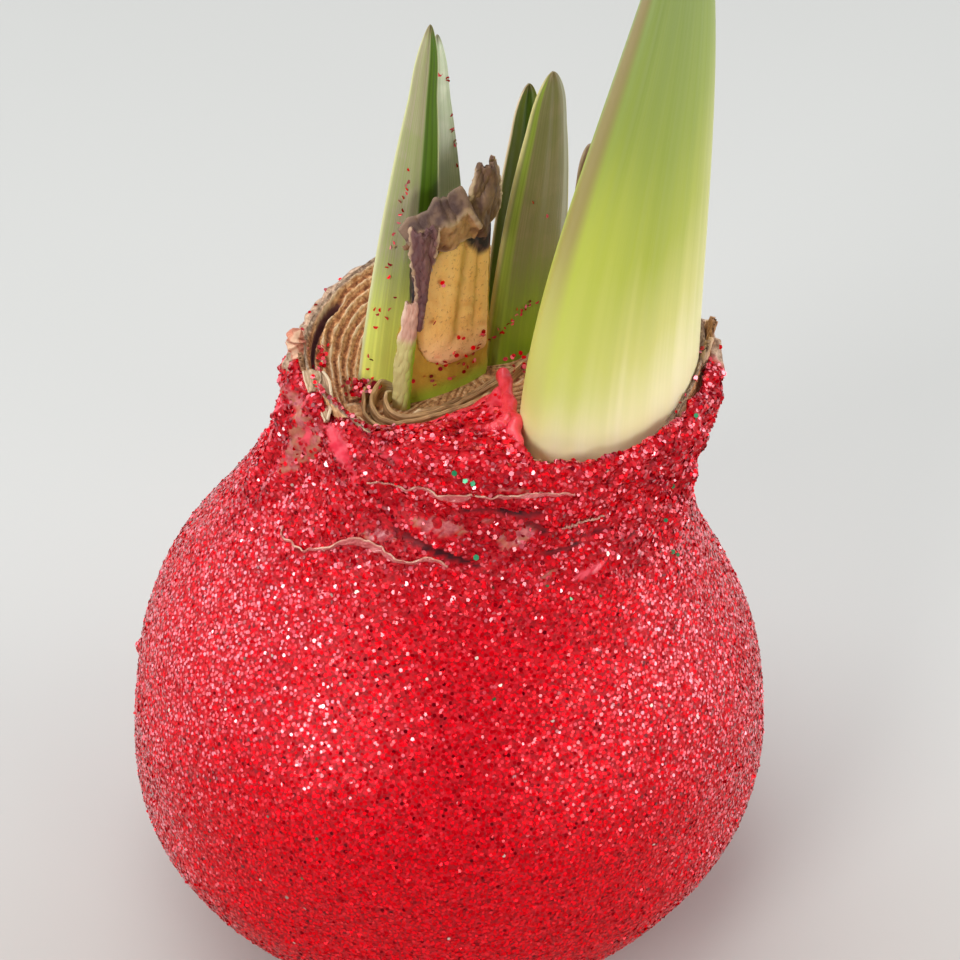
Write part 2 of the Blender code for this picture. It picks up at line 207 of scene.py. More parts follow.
def neck_centre(height):
    """Middle of the bulb at a height: it sways a little and leans towards the shoots."""
    lean = smooth((height - LEAN_FROM) / (RIM_HEIGHT - LEAN_FROM))
    return LEAN[0] * lean + BODY_SWAY * smooth(height / 30.0), LEAN[1] * lean


print("the rim stands up to", round(float(rim_rise(np.arange(360)).max()), 1), "mm above its mean")


# %% Bend the turned shape into the real one
def top_plan(angle, share):
    """Plan of the cut top: circles stretched between the narrow ellipse of the shoots and the neck's oval."""
    turn = np.radians(angle)
    swing = np.radians(angle - SHOOT_ANGLE)
    tilt = np.radians(SHOOT_ANGLE)
    ring = np.clip((share - PIT_SHARE) / (1.0 - PIT_SHARE), 0.0, 1.0)
    fan = np.clip(share / PIT_SHARE, 0.0, 1.0)
    along = PIT_HALF_LENGTH * np.cos(swing) * fan
    aside = PIT_HALF_WIDTH * np.sin(swing) * fan
    pit_x = PIT_CENTRE[0] + along * np.cos(tilt) - aside * np.sin(tilt)
    pit_y = PIT_CENTRE[1] + along * np.sin(tilt) + aside * np.cos(tilt)
    centre_x, centre_y = neck_centre(RIM_HEIGHT)
    edge_x = centre_x + NECK_RADIUS * np.cos(turn)
    edge_y = centre_y + NECK_RADIUS * OVAL_RATIO * np.sin(turn)
    return (1.0 - ring) * pit_x + ring * edge_x, (1.0 - ring) * pit_y + ring * edge_y, ring


def bend(radius, angle, z):
    """Bend turned points into the real bulb: x, y from the lean, the oval and the plan of the cut top."""
    turn = np.radians(angle)
    on_wall = smooth(radius / NECK_RADIUS * 2.0 - 0.9)
    radius = radius + waviness(angle, z) * on_wall * (z > 0.5)
    centre_x, centre_y = neck_centre(z)
    oval = 1.0 - (1.0 - OVAL_RATIO) * smooth((z - OVAL_FROM) / OVAL_OVER)
    plain_x = centre_x + radius * np.cos(turn)
    plain_y = centre_y + radius * oval * np.sin(turn)
    share = radius / NECK_RADIUS
    lip = lip_share(angle)
    inside_lip = PIT_SHARE + (share - PIT_SHARE) / (LIP_SHARE - PIT_SHARE) * (lip - PIT_SHARE)
    under_lip = lip + (share - LIP_SHARE) / (1.0 - LIP_SHARE) * (1.0 - lip)
    share = np.where(share < PIT_SHARE, share, np.where(share < LIP_SHARE, inside_lip, under_lip))
    top_x, top_y, ring = top_plan(angle, share)
    top = smooth((z - 90.0) / 7.0) * (share < 1.0)
    lift = share_of_rise(z) * np.where(share < 1.0, ring, 1.0)
    return np.stack([plain_x + top * (top_x - plain_x), plain_y + top * (top_y - plain_y),
                     z + lift * rim_rise(angle)], -1)


print("the neck's middle stands at", neck_centre(RIM_HEIGHT))

# %% [markdown]
# ## From numbers to meshes
#
# A leaf, a bud and a coat of wax are all closed skins. Blender could make them with curves and modifiers, but
# a grid of points from a formula is simpler to steer: it becomes quads between neighbouring rows and columns.
# The columns go round and close, and the two ends are closed with a ladder of faces. Each mesh gets a UV map
# that lays the grid flat, and an attribute that says how far across and along the piece a point is, so that
# colours can follow the shape.

# %% Meshes from arrays
UV_NAME = "OFBake"


def new_mesh(name, verts, faces, corner_uv, pattern=None):
    """Fill a mesh from arrays: places in millimetres, faces as rows of equal length, UVs for each corner."""
    mesh = bpy.data.meshes.new(name)
    sides = faces.shape[1]
    mesh.vertices.add(len(verts))
    mesh.vertices.foreach_set("co", (verts * MM).astype(np.float32).ravel())
    mesh.loops.add(faces.size)
    mesh.loops.foreach_set("vertex_index", faces.astype(np.int32).ravel())
    mesh.polygons.add(len(faces))
    mesh.polygons.foreach_set("loop_start", (np.arange(len(faces)) * sides).astype(np.int32))
    mesh.polygons.foreach_set("loop_total", np.full(len(faces), sides, np.int32))
    mesh.update(calc_edges=True)
    layer = mesh.uv_layers.new(name=UV_NAME)
    layer.data.foreach_set("uv", corner_uv.astype(np.float32).ravel())
    if pattern is not None:
        spread = mesh.attributes.new("pattern", "FLOAT_VECTOR", "POINT")
        spread.data.foreach_set("vector", pattern.astype(np.float32).ravel())
    mesh.validate()
    item = bpy.data.objects.new(name, mesh)
    bpy.context.scene.collection.objects.link(item)
    return item


print("every mesh gets the UV map", UV_NAME)


# %% Closed skins
def surface(name, points, pattern):
    """A closed piece from a grid (rows, columns): the columns go round and the two ends are laddered shut."""
    rows, cols, _ = points.shape
    ids = np.arange(rows * cols).reshape(rows, cols)
    low, high = ids[:-1], ids[1:]
    quads = np.stack([low, np.roll(low, -1, 1), np.roll(high, -1, 1), high], -1).reshape(-1, 4)
    count = low.shape[0]
    u, v = np.meshgrid(np.arange(cols) / cols, np.arange(count) / count)
    du, dv = 1.0 / cols, 1.0 / count
    uv = np.stack([np.stack([u, v], -1), np.stack([u + du, v], -1), np.stack([u + du, v + dv], -1),
                   np.stack([u, v + dv], -1)], -2).reshape(-1, 4, 2)
    j = np.arange(cols // 2 - 1)
    back = cols - 1 - j
    foot = np.stack([ids[0, j], ids[0, back], ids[0, back - 1], ids[0, j + 1]], -1)
    head = np.stack([ids[-1, j + 1], ids[-1, back - 1], ids[-1, back], ids[-1, j]], -1)
    quads = np.vstack([quads, foot, head])
    uv = np.vstack([uv * 0.98 + 0.01, np.zeros((len(foot) + len(head), 4, 2))])
    item = new_mesh(name, points.reshape(-1, 3), quads, uv, pattern.reshape(-1, 3))
    item.data.shade_smooth()
    return item


def small_ring(row):
    """A row drawn in to a fiftieth of its size round its middle, as the last one before an end is closed."""
    return row.mean(0) + (row - row.mean(0)) * 0.02


def unit(vectors):
    """The same directions, one long."""
    return vectors / np.linalg.norm(vectors, axis=-1, keepdims=True)


def normals_of(mid):
    """Unit normals of a grid of points, from the cross product of its two directions."""
    found = np.cross(np.gradient(mid, axis=1), np.gradient(mid, axis=0))
    return found / (np.linalg.norm(found, axis=-1, keepdims=True) + 1e-9)


print("an end of 8 columns is closed with", 8 // 2 - 1, "faces")


# %% Slabs and rods
def sheet_grid(rows, cols, left=-1.0, right=1.0):
    """u across a sheet from left to right, and v along it from 0 to 1, as two grids."""
    return np.meshgrid(np.linspace(left, right, cols), np.linspace(0, 1, rows))


def slab(name, mid, thickness, tones=None):
    """A thin sheet with two sides: the middle surface moved half its thickness each way along its normal.

    The section's front runs from left to right and its back returns, so the columns close into a round.
    Tones are up to three masks for the colours. Without them the pattern is across, along and side.
    """
    rows, cols, _ = mid.shape
    push = normals_of(mid) * (np.broadcast_to(thickness, (rows, cols))[..., None] / 2.0)
    points = np.concatenate([mid + push, (mid - push)[:, ::-1]], 1)
    u, v = sheet_grid(rows, cols)
    front = np.stack([u, v, np.ones_like(u)], -1)
    back = np.stack([u, v, -np.ones_like(u)], -1)
    if tones is not None:
        front = back = np.stack(np.broadcast_arrays(*tones, u)[:3], -1)
    return surface(name, points, np.concatenate([front, back[:, ::-1]], 1))


def rod(name, path, radii, rows=60, around=20, lump=0.0, seed=1):
    """A round rod along a curve: circles across the path, whose radius follows the radii and is lumpy."""
    chain = curve_through([(*p, r) for p, r in zip(path, radii)], rows)
    middle, radius = chain[:, :3], chain[:, 3]
    ahead = unit(np.gradient(middle, axis=0))
    side = unit(np.cross(ahead, (0.0, 0.3, 1.0)))
    other = np.cross(side, ahead)
    turn = np.linspace(0, 2 * np.pi, around, endpoint=False)
    from_end = np.minimum(np.arange(rows), np.arange(rows)[::-1])
    round_end = np.sqrt(np.clip(from_end / 5.0 + 0.02, 0, 1))
    v = np.linspace(0, 1, rows)[:, None]
    wobble = 1.0 + lump * waves(np.degrees(turn)[None, :], v * 40, seed, (1, 3), (5, 14), 8)
    reach = (radius * round_end)[:, None] * wobble
    points = middle[:, None] + reach[..., None] * (side[:, None] * np.cos(turn)[None, :, None]
                                                   + other[:, None] * np.sin(turn)[None, :, None])
    pattern = np.stack(np.broadcast_arrays(np.cos(turn)[None, :], v, np.sin(turn)[None, :]), -1)
    return surface(name, points, pattern)


print("a sheet's u runs from", sheet_grid(3, 5)[0].min(), "to", sheet_grid(3, 5)[0].max())

# %% [markdown]
# ## Shader wiring
#
# Leaf, paper, foil and wax all need colours that change over them. Pictures could carry these, but a recipe
# of noise and masks stays sharp at any size, so materials here are node trees. A small class gives the nodes
# short names, so that a recipe reads like one. Effects that several finishes share, such as streaks along a
# leaf or fine grain, are node groups with named inputs and outputs, built once.

# %% Node helpers
class Wiring:
    """Adds nodes to one tree. A value given for an input is set on it, and a socket is linked to it."""

    def __init__(self, tree):
        """Keep the tree that the nodes go into."""
        self.tree = tree

    def feed(self, socket, value):
        """Link a socket to an input, or set a plain value on it. A colour gets its alpha of 1 here."""
        if isinstance(value, bpy.types.NodeSocket):
            self.tree.links.new(value, socket)
        elif value is not None:
            socket.default_value = (*value, 1.0) if socket.type == "RGBA" else value

    def node(self, kind, settings=None, inputs=()):
        """A new node with its settings and its inputs."""
        made = self.tree.nodes.new("ShaderNode" + kind)
        for key, value in (settings or {}).items():
            setattr(made, key, value)
        for key, value in dict(inputs).items():
            self.feed(made.inputs[key], value)
        return made

    def calc(self, operation, a, b=None):
        """One step of arithmetic."""
        return self.node("Math", {"operation": operation}, {0: a, 1: b}).outputs[0]

    def times(self, a, b):
        """The product of two values."""
        return self.calc("MULTIPLY", a, b)

    def mix(self, factor, a, b):
        """Colour a at factor 0, colour b at factor 1."""
        return self.node("Mix", {"data_type": "RGBA"}, {0: factor, 6: a, 7: b}).outputs[2]

    def spread(self, value, low, high, to_low=0.0, to_high=1.0, soft=True):
        """Carry the range from low to high over to another one, with soft ends or straight."""
        kind = {"interpolation_type": "SMOOTHSTEP" if soft else "LINEAR"}
        return self.node("MapRange", kind, {0: value, 1: low, 2: high, 3: to_low, 4: to_high}).outputs[0]

    def ramp(self, value, stops):
        """Colours at given places between 0 and 1, mixed between them."""
        made = self.node("ValToRGB", inputs={0: value})
        bar = made.color_ramp
        for _ in range(len(stops) - 2):
            bar.elements.new(0.5)
        for element, (place, colour) in zip(bar.elements, stops):
            element.position = place
            element.color = (*colour, 1.0)
        return made.outputs[0]

    def noise(self, vector, scale, detail=3.0, rough=0.55):
        """Cloudy noise between 0 and 1."""
        inputs = {"Vector": vector, "Scale": scale, "Detail": detail, "Roughness": rough}
        return self.node("TexNoise", inputs=inputs).outputs["Fac"]

    def place(self):
        """Where a point is on the piece, in metres."""
        return self.node("TexCoord").outputs["Object"]

    def split(self, vector):
        """The three parts of a vector."""
        return self.node("SeparateXYZ", inputs={0: vector}).outputs

    def attribute(self, name):
        """Three numbers that the mesh carries."""
        return self.node("Attribute", {"attribute_name": name}).outputs["Vector"]

    def pattern(self):
        """The three masks of the piece. On a plain slab: across (-1 to 1), along (0 to 1) and side."""
        return self.split(self.attribute("pattern"))

    def bump(self, height, strength, distance):
        """A normal for fine relief of a depth in millimetres."""
        inputs = {"Height": height, "Strength": strength, "Distance": distance * MM}
        return self.node("Bump", inputs=inputs).outputs[0]


print("node helpers:", [word for word in vars(Wiring) if not word.startswith("_")])


# %% Materials and groups
SHORT_WORDS = {
    "metal": "Metallic",
    "rough": "Roughness",
    "glint": "Specular IOR Level",
    "coat": "Coat Weight",
    "coat_rough": "Coat Roughness",
    "coat_bend": "Coat IOR",
    "deep": "Subsurface Weight",
    "deep_reach": "Subsurface Radius",
    "deep_scale": "Subsurface Scale",
}


def material(name, recipe, **fixed):
    """A material with one Principled shader.

    Its recipe returns the inputs that vary, and fixed are plain ones under the short words above.
    """
    made = bpy.data.materials.new(name)
    made.use_nodes = True
    tree = made.node_tree
    shader = tree.nodes["Principled BSDF"]
    wires = Wiring(tree)
    for key, value in fixed.items():
        wires.feed(shader.inputs[SHORT_WORDS[key]], value)
    for key, value in recipe(wires).items():
        wires.feed(shader.inputs[key], value)
    return made


def group(name, inputs, outputs, recipe):
    """A node group of numbers: inputs are {name: default} and outputs are names."""
    tree = bpy.data.node_groups.new(name, "ShaderNodeTree")
    for key, value in inputs.items():
        tree.interface.new_socket(key, in_out="INPUT", socket_type="NodeSocketFloat").default_value = value
    for key in outputs:
        tree.interface.new_socket(key, in_out="OUTPUT", socket_type="NodeSocketFloat")
    entry = tree.nodes.new("NodeGroupInput")
    leave = tree.nodes.new("NodeGroupOutput")
    wires = Wiring(tree)
    for key, socket in recipe(wires, entry.outputs).items():
        tree.links.new(socket, leave.inputs[key])
    return tree


def use(wires, tree, **values):
    """Place a group in a tree and return its outputs."""
    made = wires.node("Group", {"node_tree": tree})
    for key, value in values.items():
        wires.feed(made.inputs[key.capitalize()], value)
    return made.outputs


def shade_of(colour, amount):
    """A colour at an amount of its brightness."""
    return tuple(part * amount for part in colour)


print("short words for", len(SHORT_WORDS), "inputs of the shader")

# %% [markdown]
# Two effects are shared. Streaks are noise squeezed across the piece and drawn out along it, as leaf veins
# and dry fibres are. Grain is fine noise in space, for everything papery, fleshy or crumbly. Each finish
# could hold its own copy, but a group is mended in one place.

# %% Shared groups
def streak_recipe(w, given):
    """Fine and broad noise on the pattern, which is first multiplied by (count, run, 1)."""
    wide = w.node("CombineXYZ", inputs={0: given["Count"], 1: given["Run"], 2: 1.0}).outputs[0]
    vector = w.node("VectorMath", {"operation": "MULTIPLY"}, {0: w.attribute("pattern"), 1: wide}).outputs[0]
    fine = w.noise(vector, 1.0, 4.0, 0.6)
    broad = w.noise(vector, 0.25, 2.0, 0.5)
    return {"Fine": w.spread(fine, 0.3, 0.7), "Broad": w.spread(broad, 0.35, 0.65)}


def grain_recipe(w, given):
    """Fine noise on the place and, at about a third of its scale, soft blotches."""
    fine = w.noise(w.place(), given["Scale"], 5.0, 0.65)
    speck = w.noise(w.place(), w.times(given["Scale"], 0.35), 2.0, 0.5)
    return {"Value": w.spread(fine, 0.3, 0.7), "Blotch": w.spread(speck, 0.4, 0.6)}


STREAKS = group("streaks", {"Count": 12.0, "Run": 1.0}, ["Fine", "Broad"], streak_recipe)
GRAIN = group("grain", {"Scale": 900.0}, ["Value", "Blotch"], grain_recipe)
print("groups:", [tree.name for tree in (STREAKS, GRAIN)])


# %% Dressing a piece
def dress(item, finish, replaces=None):
    """Give a piece its finish, let it ride on the bulb, and hide the solid that it stands for, if one is
    given.
    """
    item.data.materials.append(finish)
    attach(item, "root")
    if replaces:
        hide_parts(replaces)
    item.data.calc_loop_triangles()
    print(item.name, len(item.data.loop_triangles), "triangles")

# %% [markdown]
# ## The wax skin
#
# The real coat is soft candle wax that ran over dry onion-like skin, so it follows the skin's folds, stands
# in lumps near the neck and ends in a thick uneven lip. It could be sculpted by hand. Here its profile
# carries a relief worked out from waves and a few folds placed by angle and height, because the flakes, the
# bare places and the torn skin then lie on the same formula.

# %% Folds and cracks of the wax
COAT_CHAIN = smooth_chain(COAT_OUTLINE, 24)[::-1]
COAT_SHARE = along_chain(COAT_CHAIN)
COAT_LENGTH = np.linalg.norm(np.diff(COAT_CHAIN, axis=0), axis=1).sum()
FLAKE_LIFT = 0.12

# Folds and creases as (angle, height, half width in degrees, half height in mm, push in mm, slant), where the
# slant is in degrees a millimetre
FOLDS = [
    (189, 92, 2.4, 9, 1.1, 0.25), (195, 91, 1.8, 8, -0.8, 0.3), (201, 93, 2.4, 7, 0.8, 0.5),
    (176, 90, 3.0, 9, 0.7, 0.1), (182, 91, 1.8, 7, -0.6, 0.2), (209, 92, 2.0, 7, -0.6, 0.6),
    (216, 94, 2.4, 6, 0.6, 0.9), (230, 100.5, 9, 0.7, -0.5, 0), (284, 94.0, 8, 0.9, 0.6, 2.0),
    (306, 92, 7, 1.2, -0.7, -3.0), (318, 90, 5, 1.6, 0.6, -3.0), (333, 88, 3, 4.0, -0.7, 0.8),
    (325, 95, 6, 1.0, 0.6, 3.0), (340, 94, 2.5, 4.0, -0.6, -0.5), (250, 99.4, 16, 0.6, -0.5, 0),
    (278, 99.0, 10, 0.5, -0.5, 2.0), (262, 102.0, 14, 0.6, 0.4, 0),
]

# Narrow cracks, painted dark inside as shade, and one drop of wax, with the same six numbers
CRACKS = [
    (255, 88.4, 2.1, 1.9, -1.3, -5.6), (271, 94.5, 6.5, 0.45, -1.3, 7.0), (281, 92.4, 2.0, 1.2, -0.8, -2.5),
    (290, 88.0, 5.0, 0.45, -0.8, 4.0), (299, 89.4, 4.0, 0.45, -0.8, -3.0), (312, 86.5, 4.0, 0.5, -0.6, 3.0),
    (213, 95.5, 1.1, 4.0, -0.6, 0.9), (266, 97.0, 8.0, 0.35, -0.6, 0.0), (305, 99.0, 6.0, 0.4, -0.5, 3.0),
]
WAX_DROP = (181.5, 48.0, 0.9, 0.8, 0.9, 0)


def marks(angle, height, rows):
    """Sum of stretched bells: push times a bell round the slanting centre line times a bell up it."""
    total = np.zeros(np.broadcast(angle, height).shape)
    for centre, level, wide, tall, push, slant in rows:
        round_it = hump(angle, centre + slant * (height - level), wide)
        total = total + push * round_it * bell(height, level, tall)
    return total


print(len(FOLDS), "folds and", len(CRACKS), "cracks")


# %% Relief of the wax
BARK_HEIGHT = 98.6


def bark(angle, height):
    """1 where dry brown scales stand above the wax, from the right of the rim round the back to the left."""
    ragged = 0.8 * waves(angle, height * 0, 17, (6, 40), (50, 90), 12)
    turned = (angle + 30.0) % 360.0
    above = smooth((height - BARK_HEIGHT - ragged) / 0.5)
    return above * smooth((turned - 20) / 6) * smooth((217 - turned) / 6)


def wax_relief(angle, height):
    """Push along the normal: broad lumps, crumpled wax at the neck, folds, fibres on the bark, and a drop."""
    neck = smooth((height - 74) / 14)
    lumps = 0.16 * waves(angle, height, 3, (3, 9), (14, 40))
    crumple = 0.42 * waves(angle, height, 5, (10, 34), (3.0, 10), 22)
    fine = 0.15 * waves(angle, height, 8, (34, 80), (1.6, 4.0), 22)
    total = lumps * 0.7 + neck * (crumple + fine) + (1 - neck) * fine * 0.3
    total = total + marks(angle, height, FOLDS) + marks(angle, height, CRACKS)
    fibres = 0.16 * np.sin(height * 5.2 + 1.5 * np.sin(np.radians(angle * 4))) + 0.10 * np.sin(height * 11.0)
    total = total + bark(angle, height) * (fibres - 0.5 * crumple * neck)
    return total * smooth(height / 8.0) + marks(angle, height, [WAX_DROP])


def coat_at(angle, share, lift=0.0):
    """Outer surface of the wax, at an angle and a share of its length from the flat spot to the lip.

    The profile's point is pushed along its normal by the relief and the lift, and then bent into place.
    """
    radius = np.interp(share, COAT_SHARE, COAT_CHAIN[:, 0])
    height = np.interp(share, COAT_SHARE, COAT_CHAIN[:, 1])
    step = np.gradient(COAT_CHAIN, COAT_SHARE, axis=0)
    step = step / np.linalg.norm(step, axis=1, keepdims=True)
    out_r = np.interp(share, COAT_SHARE, step[:, 1])
    out_z = -np.interp(share, COAT_SHARE, step[:, 0])
    push = wax_relief(angle, height) - FLAKE_LIFT + lift
    return bend(radius + out_r * push, angle, height + out_z * push)


def share_at(angle, height):
    """Share of the profile at which the bent outer surface reaches a height, below the lip."""
    climb = np.argmax(COAT_CHAIN[:, 1])
    turned = height - share_of_rise(height) * rim_rise(angle)
    return np.interp(turned, COAT_CHAIN[:climb, 1], COAT_SHARE[:climb])


print("the coat is", round(float(COAT_LENGTH)), "mm long from the flat spot to the lip")

# %% Bare places
# Places without glitter as (angle, height, half width in degrees, half height in mm, amount, slant)
BARE_WAX = [
    (224, 98.8, 2.4, 1.7, 1.2, -1.2), (231, 96.0, 1.4, 1.2, 0.6, -1.0), (299, 83.9, 2.4, 0.8, 1.1, 3.0),
    (207, 96.8, 1.3, 1.8, 1.2, 0.3), (188, 92.0, 1.2, 5.0, 0.9, 0.4), (196, 89.0, 1.3, 4.0, 0.7, 0.5),
    (312, 100.0, 1.6, 0.8, 0.7, 3.0), (237, 101.0, 5.0, 0.5, 0.7, 2.0), (218, 100.8, 4.0, 0.8, 0.8, 0.0),
]
BARE_PAPER = [
    (258, 91.4, 4.2, 0.9, 1.1, -1.6), (252, 91.6, 1.6, 0.5, 0.8, -2.0), (277, 90.6, 2.6, 1.5, 1.0, 1.2),
    (268, 92.6, 2.4, 0.4, 0.6, 1.0), (272, 98.6, 5.0, 0.30, 0.8, 1.5), (288, 84.5, 2.0, 0.6, 0.6, 2.0),
    (199, 99.4, 6.0, 0.9, 1.0, 0.6), (241, 88.6, 3.6, 0.6, 1.0, 3.0), (204, 94.0, 2.6, 4.0, 1.0, 0.5),
    (211, 96.6, 1.6, 2.6, 0.8, 0.6),
]


def bare(angle, height):
    """How far smooth wax, dry paper and the painted shade in cracks show through the glitter, from 0 to 1.

    Each is a sum of marks with ragged edges, cut off by a soft step. Bark is paper at 2.
    """
    ragged = 0.35 * waves(angle, height, 51, (60, 160), (0.8, 2.5), 16)
    wax = marks(angle, height, BARE_WAX)
    paper = marks(angle, height, BARE_PAPER)
    crack_shade = smooth((-marks(angle, height, CRACKS) - 0.30) / 0.3)
    wax = smooth((wax + ragged * wax - 0.40) / 0.25)
    paper = smooth((paper + ragged * paper - 0.40) / 0.2) * (1.0 - wax)
    return wax, np.maximum(paper, 2.0 * bark(angle, height)), crack_shade


print(len(BARE_WAX), "places of bare wax and", len(BARE_PAPER), "of bare paper")


# %% Skin of wax
def wax_skin(columns=400):
    """Rows climb the outside from the flat spot, cross the lip and go down the inside of the coat.

    They lie closer together from 0.55 of the way up, where the neck's fine folds are.
    """
    share = np.concatenate([np.linspace(0, 0.55, 54, endpoint=False), np.linspace(0.55, 1, 100)])[:, None]
    angle = (np.arange(columns) * 360.0 / columns)[None, :]
    outside = coat_at(angle, share)
    inside = coat_at(angle, np.linspace(0.93, 0.0, 12)[:, None], -COAT_THICKNESS)
    inside[-1, :, 2] = COAT_THICKNESS
    points = np.concatenate([small_ring(outside[0])[None], outside, inside, small_ring(inside[-1])[None]], 0)
    tones = np.zeros(points.shape)
    tones[1:1 + len(share)] = np.stack(bare(angle, np.interp(share, COAT_SHARE, COAT_CHAIN[:, 1])), -1)
    return points, tones


wax_grid, wax_tones = wax_skin()
print("wax skin of", wax_grid.shape[0], "rows and", wax_grid.shape[1], "columns")

# %% [markdown]
# The wax is thick, glossy and see-through only at its very edge. Light could be sent through it, but a
# coloured shader under a clear coat looks the same here and is quicker. Between the flakes it is deep red,
# where glitter is missing it is smooth salmon red, and dry skin shows mauve.

# %% Wax finish
def wax_recipe(w):
    """Deep red; the masks for smooth wax, dry skin, bark and cracks then lay their colours over it. The
    cracks' dark maroon is painted shade.
    """
    smooth_wax, dry, crack_shade = w.pattern()
    paper = w.spread(dry, 0.0, 1.0, soft=False)
    grain = use(w, GRAIN, scale=1300.0)
    cells = w.node("TexVoronoi", inputs={"Vector": w.place(), "Scale": 2000.0})
    tilt = w.node("SeparateColor", inputs={0: cells.outputs["Color"]})
    colour = w.mix(grain["Value"], (0.26, 0.0, 0.004), (0.60, 0.002, 0.010))
    colour = w.mix(w.spread(tilt.outputs[0], 0.55, 1.0), colour, (0.70, 0.006, 0.020))
    colour = w.mix(smooth_wax, colour, w.mix(grain["Blotch"], (0.72, 0.02, 0.05), (0.84, 0.07, 0.11)))
    mauve = w.mix(grain["Value"], (0.40, 0.05, 0.07), (0.66, 0.18, 0.18))
    mauve = w.mix(w.times(grain["Blotch"], 0.6), mauve, (0.42, 0.17, 0.07))
    colour = w.mix(paper, colour, mauve)
    bark_brown = w.mix(grain["Value"], (0.22, 0.12, 0.07), (0.66, 0.45, 0.30))
    colour = w.mix(w.spread(dry, 1.0, 1.8), colour, bark_brown)
    # Painted shade: the cracks are darkened to a dark maroon, as shade in a crevice
    colour = w.mix(crack_shade, colour, w.mix(grain["Blotch"], (0.05, 0.004, 0.008), (0.20, 0.01, 0.016)))
    smoothed = w.calc("MAXIMUM", smooth_wax, paper)
    covered = w.calc("SUBTRACT", 1.0, smoothed)
    return {"Base Color": colour, "Roughness": w.spread(smoothed, 0, 1, 0.5, 0.28),
            "Coat Weight": w.times(w.calc("MAXIMUM", smooth_wax, w.times(paper, 0.3)), 0.55),
            "Normal": w.bump(w.times(tilt.outputs[1], covered), 0.6, 0.15)}


GLITTER_WAX = material("glitter_wax", wax_recipe, glint=0.2, coat_rough=0.18)
dress(surface("wax_skin", wax_grid, wax_tones), GLITTER_WAX, "wax_coat")

# %% [markdown]
# ## Glitter
#
# Each flake is a hexagon of coloured foil, thinner than a hair. A bump map could stand in for the flakes, but
# only real faces catch the light one by one, so each is a single face. The flakes are laid out like the seeds
# of a sunflower: flake k sits at k golden angles round the bulb, at the height below which k flakes' worth of
# surface lies. That spaces them evenly with no rows to be seen. A random shift and a random tilt then make
# them sparkle one by one.

# %% Hexagons
def hexagons(name, places, outwards, size, tilt, seed, gloss_and_painted_sheen=0.8):
    """One hexagon a place: corners at size from its middle, in a plane whose normal is outwards plus a tilt.

    Each face carries three random numbers as its tone: its shade, its gloss and painted sheen (a pinker
    colour that stands for reflected light), and its kind.
    """
    rng = np.random.default_rng(seed)
    count = len(places)
    normal = unit(outwards + rng.normal(0, 1, (count, 3)) * np.broadcast_to(tilt, count)[:, None])
    side = unit(np.cross(normal, rng.normal(0, 1, (count, 3))))
    other = np.cross(normal, side)
    turn = np.radians(np.arange(6) * 60.0)
    reach = np.broadcast_to(size, count)[:, None, None] * rng.uniform(0.8, 1.15, count)[:, None, None]
    corners = places[:, None] + reach * (side[:, None] * np.cos(turn)[None, :, None]
                                         + other[:, None] * np.sin(turn)[None, :, None])
    cell = int(np.ceil(np.sqrt(count)))
    k = np.arange(count)
    middle = (np.stack([k % cell, k // cell], -1) + 0.5) / cell
    ring = 0.38 / cell * np.stack([np.cos(turn), np.sin(turn)], -1)
    uv = middle[:, None] + ring[None]
    item = new_mesh(name, corners.reshape(-1, 3), np.arange(count * 6).reshape(-1, 6), uv)
    tone = item.data.attributes.new("tone", "FLOAT_VECTOR", "FACE")
    tones = rng.random((count, 3))
    tones[:, 1] = tones[:, 1] * gloss_and_painted_sheen
    tone.data.foreach_set("vector", tones.astype(np.float32).ravel())
    return item


print("each flake is one face with six corners")


# %% Layout of the flakes
GOLDEN_ANGLE = 137.50776
FLAKE_PITCH = 0.56
BARK_FLAKES = 0.04


def flake_spots(seed):
    """Golden-angle layout over the outer wax, as angle, share of the profile and height.

    Flakes are left out where the wax is bare, and a few stay on the bark.
    """
    rng = np.random.default_rng(seed)
    share = np.linspace(0.0, 1.0, 2000)
    radius = np.interp(share, COAT_SHARE, COAT_CHAIN[:, 0])
    area = np.cumsum(2 * np.pi * radius * 0.93) * COAT_LENGTH / len(share)
    count = int(area[-1] / FLAKE_PITCH ** 2)
    k = np.arange(count)
    spot = np.interp((k + 0.5) / count * area[-1], area, share)
    angle = k * GOLDEN_ANGLE % 360.0 + rng.normal(0, 0.2, count)
    spot = np.clip(spot + rng.normal(0, 0.35 * FLAKE_PITCH / COAT_LENGTH, count), 0.002, 0.998)
    height = np.interp(spot, COAT_SHARE, COAT_CHAIN[:, 1])
    wax, paper, crack_shade = bare(angle, height)
    keep = np.maximum(np.maximum(wax, paper * 0.92), crack_shade * 1.05) < rng.uniform(0.1, 1.0, count)
    keep = keep | ((paper > 1.0) & (rng.random(count) < BARK_FLAKES))
    return angle[keep], spot[keep], height[keep]


flake_angle, flake_share, flake_height = flake_spots(11)
print(len(flake_angle), "flakes on the wax")


